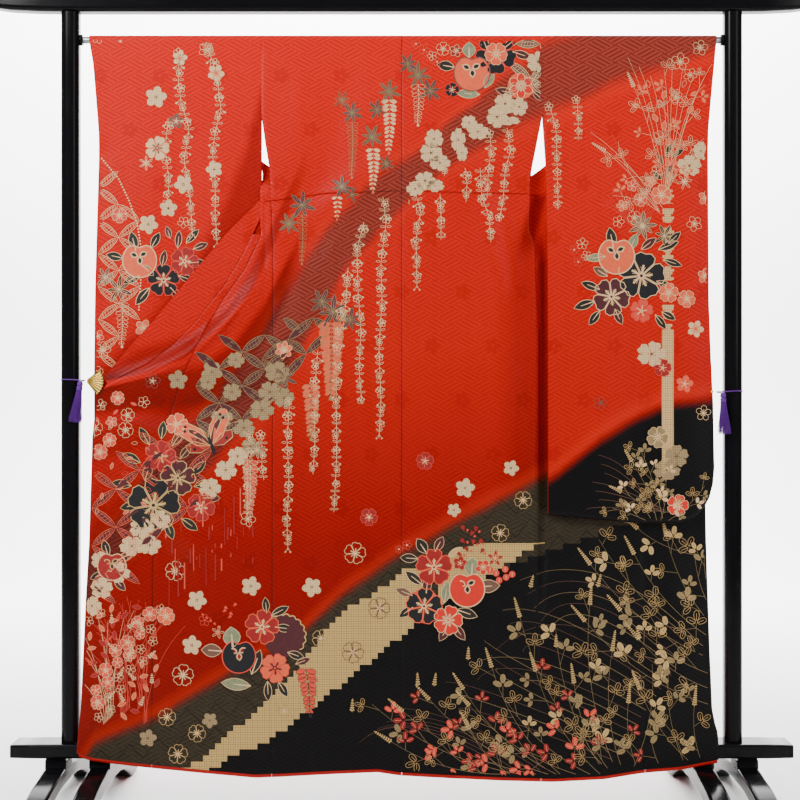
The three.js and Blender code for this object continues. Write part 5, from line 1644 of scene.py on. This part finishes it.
def lowerClusterMotifs():
    # by the boards on the left
    draw("flower", "205 620 6 0.1 - rose rose round, 218 632 6.5 0.3 - cream salmon narrow")
    for k in range(5):
        bud((228 + 6 * math.sin(k * 2.1), 618 - 3 * k), (-1) ** k * 0.9, 4, "rose")
        bud((204 + 4 * k, 616 + 3 * k), -0.6, 3, "rose")
    draw("disc", "284 636 21 maroon 1 28")
    for k in range(9):
        a = -0.7 + k * 0.33
        arc("gold", (284 + 20.5 * math.sin(a), 636 - 20.5 * math.cos(a)),
            (284 + 24.5 * math.sin(a + 0.16), 636 - 24.5 * math.cos(a + 0.16)),
            (284 + 20.5 * math.sin(a + 0.33), 636 - 20.5 * math.cos(a + 0.33)), 1.1, 2, 0)
    draw("leaf", """
        266 605 16 7 -0.1, 280 611 20 8 1.1, 284 628 18 8 1.7, 232 637 21 17 -0.1 leafLight cream cream 2
        212 650 21 13 -1.5 taupe cream cream 2, 256 662 26 11 0.35
        236 684 30 12 -1.45 leafLight cream cream 2, 268 691 20 8 3.1, 283 689 18 8 2.6, 296 655 18 8 1.9
        303 661 16 7 1.2 maroon cream cream 2""", "leafDark cream cream 2")
    draw("flower", "262 627 17.5 0.2 crimson salmon cream notched 5 3")
    draw("fruit", "239 656 17.5 black rose crimson")
    draw("flower", "275 668 15 0.5 salmon rose maroon notched 5 4")
    draw("cone", "306 668 44 17 rose black 0.1")
    # in the middle, at the head of the net band
    draw("leaf", """
        422 546 18 11 -0.6, 439 544 17 9 0.5 maroon, 409 558 18 9 -1.5, 414 578 22 9 -0.9
        404 592 18 8 -1.2 taupe, 427 585 16 9 0.1 maroon, 446 592 22 9 0.15 leafLight
        472 567 20 15 0.05 leafLight, 488 586 24 13 1.5 taupe, 467 613 22 10 1.9, 444 633 18 9 -2.6 maroon
        459 632 20 9 2.5 maroon, 455 552 18 7 1 gold cream -, 406 612 17 8 -2.2""")
    for k, (c, r, a) in enumerate(((464, 531, -0.3), (470, 536, 0.6), (475, 532, 0.2), (465, 543, -0.8),
                                   (478, 543, 0.9), (468, 552, -0.4), (480, 553, 0.7), (473, 545, 0.1),
                                   (462, 556, -0.9))):
        bud((c, r), a, 5.5, "crimson", 3)
        bud((c + 3, r + 1), a + 0.5, 3, "rose", 4)
    for c, r in ((490, 570), (496, 573), (505, 569), (499, 580), (512, 574), (506, 577)):
        disc("rose", 3, (c, r), 3.4, 10)
        line("cream", 4, [(c, r - 2), (c, r + 2)], 0.5)
    draw("flower", """
        460 563 7 0.2 crimson rose cream round, 483 567 8 0.6 scarlet cream cream round
        495 558 8 0.1 crimson rose cream narrow, 407 545 5 0.3, 399 549 4 0.3
        434 567 18.5 0 crimson salmon cream notched 5 3""", "- rose cream round")
    draw("disc", "424 606 17 rose 2 20")
    draw("flower", """
        424 606 18.5 0.1 black salmon cream notched 5 3, 448 620 15 0.3 scarlet cream cream notched 5 4""")
    draw("fruit", "467 589 18.5 scarlet cream black cream 5")


def cloversFrom(text, names, size, gap, bend=0.16):
    # Rows of: foot column and row, tip column and row; each stem bows to one side.
    for k, row in enumerate(text.strip().splitlines()):
        c0, r0, c1, r1 = [float(v) for v in row.split()]
        across = (r1 - r0, c0 - c1)
        lean = bend * (1 if c1 < c0 else -1)
        middle = ((c0 + c1) / 2 + across[0] * lean * 0.9, (r0 + r1) / 2 + across[1] * lean * 0.9)
        clover(((c0, r0), middle, (c1, r1)), names[k % len(names):] + names[:k % len(names)], size, gap, k,
               ears=k % 3 != 1)


def blackFieldMotifs():
    open1, gilt, olive = ("gold", False), ("gold", True), ("oldGold", True)
    cloversFrom("""
        714 640 636 556
        714 652 600 540
        715 628 668 538
        714 660 592 566
        715 616 696 544
        716 676 622 612
        714 690 640 640
        716 604 706 556
        708 704 586 622
        700 556 640 530""", [open1, olive, open1, gilt], 9.4, 21.0)
    cloversFrom("""
        612 774 520 618
        606 774 556 630
        618 774 590 606
        624 774 612 652
        630 774 652 664
        700 770 640 690
        706 772 694 706
        690 774 668 676
        560 774 492 668""", [open1, olive, gilt, open1, olive], 9.2, 23.0)
    cloversFrom("""
        600 774 536 672
        590 774 506 700
        640 774 628 704
        576 774 470 706
        664 774 650 724
        612 774 574 684""", [("crimson", True), open1, ("rose", True), ("crimson", True), olive], 9.0, 18.0)
    cloversFrom("""
        536 774 404 712
        520 774 372 704
        548 774 430 700
        500 774 392 742
        486 774 440 742
        556 774 464 690
        510 774 470 730""", [("rose", True), open1, ("crimson", True), olive], 8.8, 19.0)
    for c, r in ((418, 686), (352, 712), (434, 686), (468, 660), (530, 588), (598, 588), (556, 648),
                 (640, 640)):
        ear((c, r), 0.3 * math.sin(c), 12, "gold", 2)
    for k in range(18):
        c, r = 696 - k * 5, 640 + k * 7
        arc("taupe" if k % 2 else "oldGold", (c, r), (c - 92 - 4 * k, r - 96 + 2 * k),
            (c - 176 + (k % 5) * 12, r - 60 + 9 * (k % 6) - 2 * k), 0.45, 1, 0.5, 20)
    for k in range(6):
        arc("taupe", (548 - 8 * k, 770), (470 - 14 * k, 716 - 3 * k), (404 - 9 * k, 708 + 7 * k), 0.4, 1,
            0.5, 18)


middleBodyMotifs()
upperBodyMotifs()
layPrint("print_body_upper", bodyFace, onBody)
lowerLeftMotifs()
hemLeftMotifs()
scatteredMotifs()
lowerClusterMotifs()
layPrint("print_body_lower", bodyFace, onBody)
blackFieldMotifs()
layPrint("print_black_field", bodyFace, onBody)
leftSleeveMotifs()
layPrint("print_sleeve_left", lambda x, z: sleeveFace("left", x, z), onSleeve("left"))
leftSleeveMotifs()
layPrint("print_sleeve_left_inside", lambda x, z: sleeveFace("left", x, z, 1), onSleeve("left"), face=1)
rightSleeveMotifs()
layPrint("print_sleeve_right", lambda x, z: sleeveFace("right", x, z), onSleeve("right"))
rightSleeveMotifs()
layPrint("print_sleeve_right_inside", lambda x, z: sleeveFace("right", x, z, 1), onSleeve("right"), face=1)
print("motifs laid")

# fan, cords and tassels
clips = dict(left=dict(side=-1, grip=(-686.0, -28.4, 927.0), tie=(-685.2, -29.0, 928.0), lean=-0.13),
             right=dict(side=1, grip=(674.0, -29.3, 903.0), tie=(679.4, -29.3, 903.0), lean=0.04))
tasselAt = dict(aside=697.0, forward=33.5)
tasselSize = dict(head=7.0, headLength=20.0, threads=170, length=74.0, flare=8.5, thread=0.42)
fan = dict(radius=38.0, inner=3.0, start=0.66, end=-0.92, pleats=9, pleat=1.1, thick=1.0)
purple = mottled("purple_silk", (0.055, 0.001, 0.14, 1), (0.13, 0.004, 0.30, 1), 220.0, Roughness=0.55,
                 Sheen_Weight=0.15, Sheen_Roughness=0.4)[0]


def giltMaterial():
    # Gold, darker in the fan's pleats: painted shade on one face of each pleat and a painted highlight on the
    # other.
    made, tree, shader = newMaterial("gilt", Roughness=0.26, Metallic=0.92)
    point, x, y, z = coordinates(tree)
    gripX, gripY, gripZ = clips["left"]["grip"]
    turn = (z - gripZ).math("ARCTAN2", x - gripX)
    pleats = ((turn * (fan["pleats"] / (fan["start"] - fan["end"]))).part() - 0.5).size()
    # painted highlight and shade, in stripes that follow the pleats
    shine = pleats.soft(0.10, 0.34) * 0.8 + noiseOf(point, 90.0, 2.0) * 0.3
    paint(tree, shader, blend(ink(150, 104, 28), ink(255, 222, 120), shine))
    return made


gilt = giltMaterial()


def makeFan():
    px, py, pz = clips["left"]["grip"]
    obj, u, v = newGrid(fan["pleats"] * 2, 8)
    radius = lerp(fan["inner"], fan["radius"], v)
    angle = math.pi / 2 - lerp(fan["start"], fan["end"], u)
    ridge = np.where(np.round(u * fan["pleats"] * 2) % 2 > 0.5, -1, 1) * fan["pleat"] * (0.25 + 0.75 * v)
    edgeOut = np.where(v > 0.99, np.where(ridge < 0, 0.8, -0.8), 0)
    moveTo(obj, np.stack([px + (radius + edgeOut) * np.sin(angle), py - 1.4 + ridge,
                          pz + (radius + edgeOut) * np.cos(angle)], 1))
    finishPiece(obj, "fan", ["clip_fan_left"], [gilt], 12)
    applyModifier(obj, "SOLIDIFY", thickness=fan["thick"] * mm, offset=0)


def cordPiece(name, node, points, radius):
    deselect()
    bpy.ops.curve.primitive_bezier_curve_add()
    obj = bpy.context.object
    spline = obj.data.splines.new("NURBS")
    obj.data.splines.remove(obj.data.splines[0])
    spline.points.add(len(points) - 1)
    for target, place in zip(spline.points, points):
        target.co = (*[c * mm for c in place], 1)
    spline.use_cyclic_u = True
    spline.order_u = 3
    obj.data.resolution_u = 10
    obj.data.bevel_depth = radius * mm
    obj.data.bevel_resolution = 3
    obj.data.dimensions = "3D"
    obj.data.use_fill_caps = True
    obj.location = (0, 0, 0)
    pick(obj)
    bpy.ops.object.convert(target="MESH")
    return finishPiece(bpy.context.object, name, [node], [purple], 70)


def clipCord(word):
    clip = clips[word]
    clear = 1.55
    reach, back = stand["postWidth"] / 2 + clear, stand["postDepth"] / 2 + clear
    s, x, z = clip["side"], clip["side"] * stand["postAt"], clip["tie"][2]
    points = [clip["tie"], (s * tasselAt["aside"], -tasselAt["forward"], z), (x, -back - 1, z + 2),
              (x + s * (reach - 2), -back + 5, z + 2), (x + s * reach, 0, z + 1),
              (x + s * (reach - 2), back - 5, z), (x, back + 0.6, z),
              (x - s * (reach - 2), back - 5, z - 2),
              (x - s * (reach + 0.2), 0, z - 3), (x - s * (reach + 4), -back + 6, z - 3)]
    cordPiece(f"clip_ring_{word}", f"clip_cord_{word}", points, 1.2)


def makeTassel(word):
    # A bound head and a skirt of fine threads, as one joined mesh.
    size, clip = tasselSize, clips[word]
    profile = [(0.01, 0), (size["head"] - 3, -1), (size["head"] - 0.8, -5), (size["head"] - 0.6, -9),
               (size["head"] - 2.2, -11.5), (size["head"] - 0.4, -13), (size["head"] - 0.2, -15.5),
               (size["head"] - 1.2, -17), (size["head"], -20), (0.01, -20.5)]
    deselect()
    bpy.ops.mesh.primitive_grid_add(x_subdivisions=24, y_subdivisions=len(profile) - 1, size=1)
    head = bpy.context.object
    co = places(head)
    turn, rank = (co[:, 0] + 0.5) * 2 * math.pi, (co[:, 1] + 0.5) * (len(profile) - 1)
    r = np.interp(rank, range(len(profile)), [p[0] for p in profile])
    h = np.interp(rank, range(len(profile)), [p[1] for p in profile])
    heads = [np.stack([r * np.cos(turn), -r * np.sin(turn), h], 1)]
    faces = [tuple(p.vertices) for p in head.data.polygons]
    bpy.data.objects.remove(head)
    count = len(heads[0])
    golden = math.pi * (3 - math.sqrt(5))
    sides, steps = 4, 7
    for i in range(size["threads"]):
        share, angle = math.sqrt((i + 0.5) / size["threads"]), i * golden
        wave = math.sin(i * 2.4) * 0.9
        reach = size["length"] * (0.95 + 0.05 * math.cos(3 * angle + i * 0.7))
        t = np.linspace(0, 1, steps)
        spread = lerp((size["head"] - 1.4) * share, (size["head"] + size["flare"]) * share, t ** 1.3)
        cx = spread * math.cos(angle) + wave * np.sin(t * 3.1)
        cy = spread * math.sin(angle) * 0.62
        cz = -size["headLength"] + 3 - reach * t
        for k in range(sides):
            a = 2 * math.pi * k / sides
            thin = size["thread"] * (1 - 0.4 * t)
            heads.append(np.stack([cx + thin * math.cos(a), cy + thin * math.sin(a), cz], 1))
        for k in range(sides):
            a, b = count + k * steps, count + ((k + 1) % sides) * steps
            faces += [(a + j, a + j + 1, b + j + 1, b + j) for j in range(steps - 1)]
        faces.append(tuple(count + k * steps + steps - 1 for k in reversed(range(sides))))
        count += sides * steps
    points = np.concatenate(heads)
    lean = clip["lean"]
    x = points[:, 0] * math.cos(lean) - points[:, 2] * math.sin(lean)
    z = points[:, 0] * math.sin(lean) + points[:, 2] * math.cos(lean)
    top = clip["tie"][2] - 1.55
    placed = np.stack([x + clip["side"] * tasselAt["aside"], points[:, 1] - tasselAt["forward"], z + top], 1)
    obj = joinedMesh("tassel", placed, faces)
    finishPiece(obj, f"tassel_skirt_{word}", [f"tassel_{word}"], [purple], 60)


makeFan()
for make in (clipCord, makeTassel):
    make("left")
    make("right")
deselect()
bpy.ops.mesh.primitive_uv_sphere_add(segments=24, ring_count=14, radius=3.4 * mm)
bead = bpy.context.object
moveTo(bead, places(bead) / mm + clips["right"]["grip"])
finishPiece(bead, "clip_bead", ["clip_bead_right"], [gilt], 60)
print("clips fastened")

# floor, backdrop and light
bpy.ops.mesh.primitive_grid_add(x_subdivisions=2, y_subdivisions=60, size=1)
backdrop = bpy.context.object
co = places(backdrop)
reach = (co[:, 1] + 0.5) * 14.0
bend, flatEnd, nearEnd = 1.2, 8.0, 4.0
turned = np.clip((reach - flatEnd) / bend, 0, math.pi / 2)
rest = np.maximum(reach - flatEnd - bend * math.pi / 2, 0)
level = bend * (1 - np.cos(turned)) + rest
depthAt = np.minimum(reach, flatEnd) + bend * np.sin(turned)
moveTo(backdrop, np.stack([co[:, 0] * 12000, (depthAt - nearEnd) * 1000, level * 1000], 1))
backdrop.name = "backdrop"
backdrop.data.materials.append(newMaterial("paper", Base_Color=(0.93, 0.93, 0.92, 1), Roughness=1.0)[0])
for face in backdrop.data.polygons:
    face.use_smooth = True

world = bpy.data.worlds.new("studio")
bpy.context.scene.world = world
world.use_nodes = True
world.node_tree.nodes["Background"].inputs["Color"].default_value = (0.92, 0.96, 1.0, 1)
world.node_tree.nodes["Background"].inputs["Strength"].default_value = 0.30


def softLight(name, place, aim, width, height, power):
    bpy.ops.object.light_add(type="AREA", location=place)
    lamp = bpy.context.object
    lamp.name = name
    lamp.data.shape = "RECTANGLE"
    lamp.data.size, lamp.data.size_y = width, height
    lamp.data.energy = power
    direction = np.array(aim, float) - np.array(place, float)
    flat = math.hypot(direction[0], direction[1])
    lamp.rotation_euler = (math.atan2(flat, -direction[2]), 0, math.atan2(-direction[0], direction[1]))


softLight("key", (-2.1, -2.7, 2.9), (0, 0, 0.95), 1.4, 1.0, 125)
softLight("fill", (2.4, -3.0, 1.9), (0, 0, 0.8), 1.4, 1.8, 34)
softLight("ceiling", (0, -0.6, 4.2), (0, 0.2, 0.8), 3.0, 2.0, 60)
softLight("wash", (0, 3.1, 4.4), (0, 5.2, 1.0), 6.0, 1.0, 1500)
print("light set")
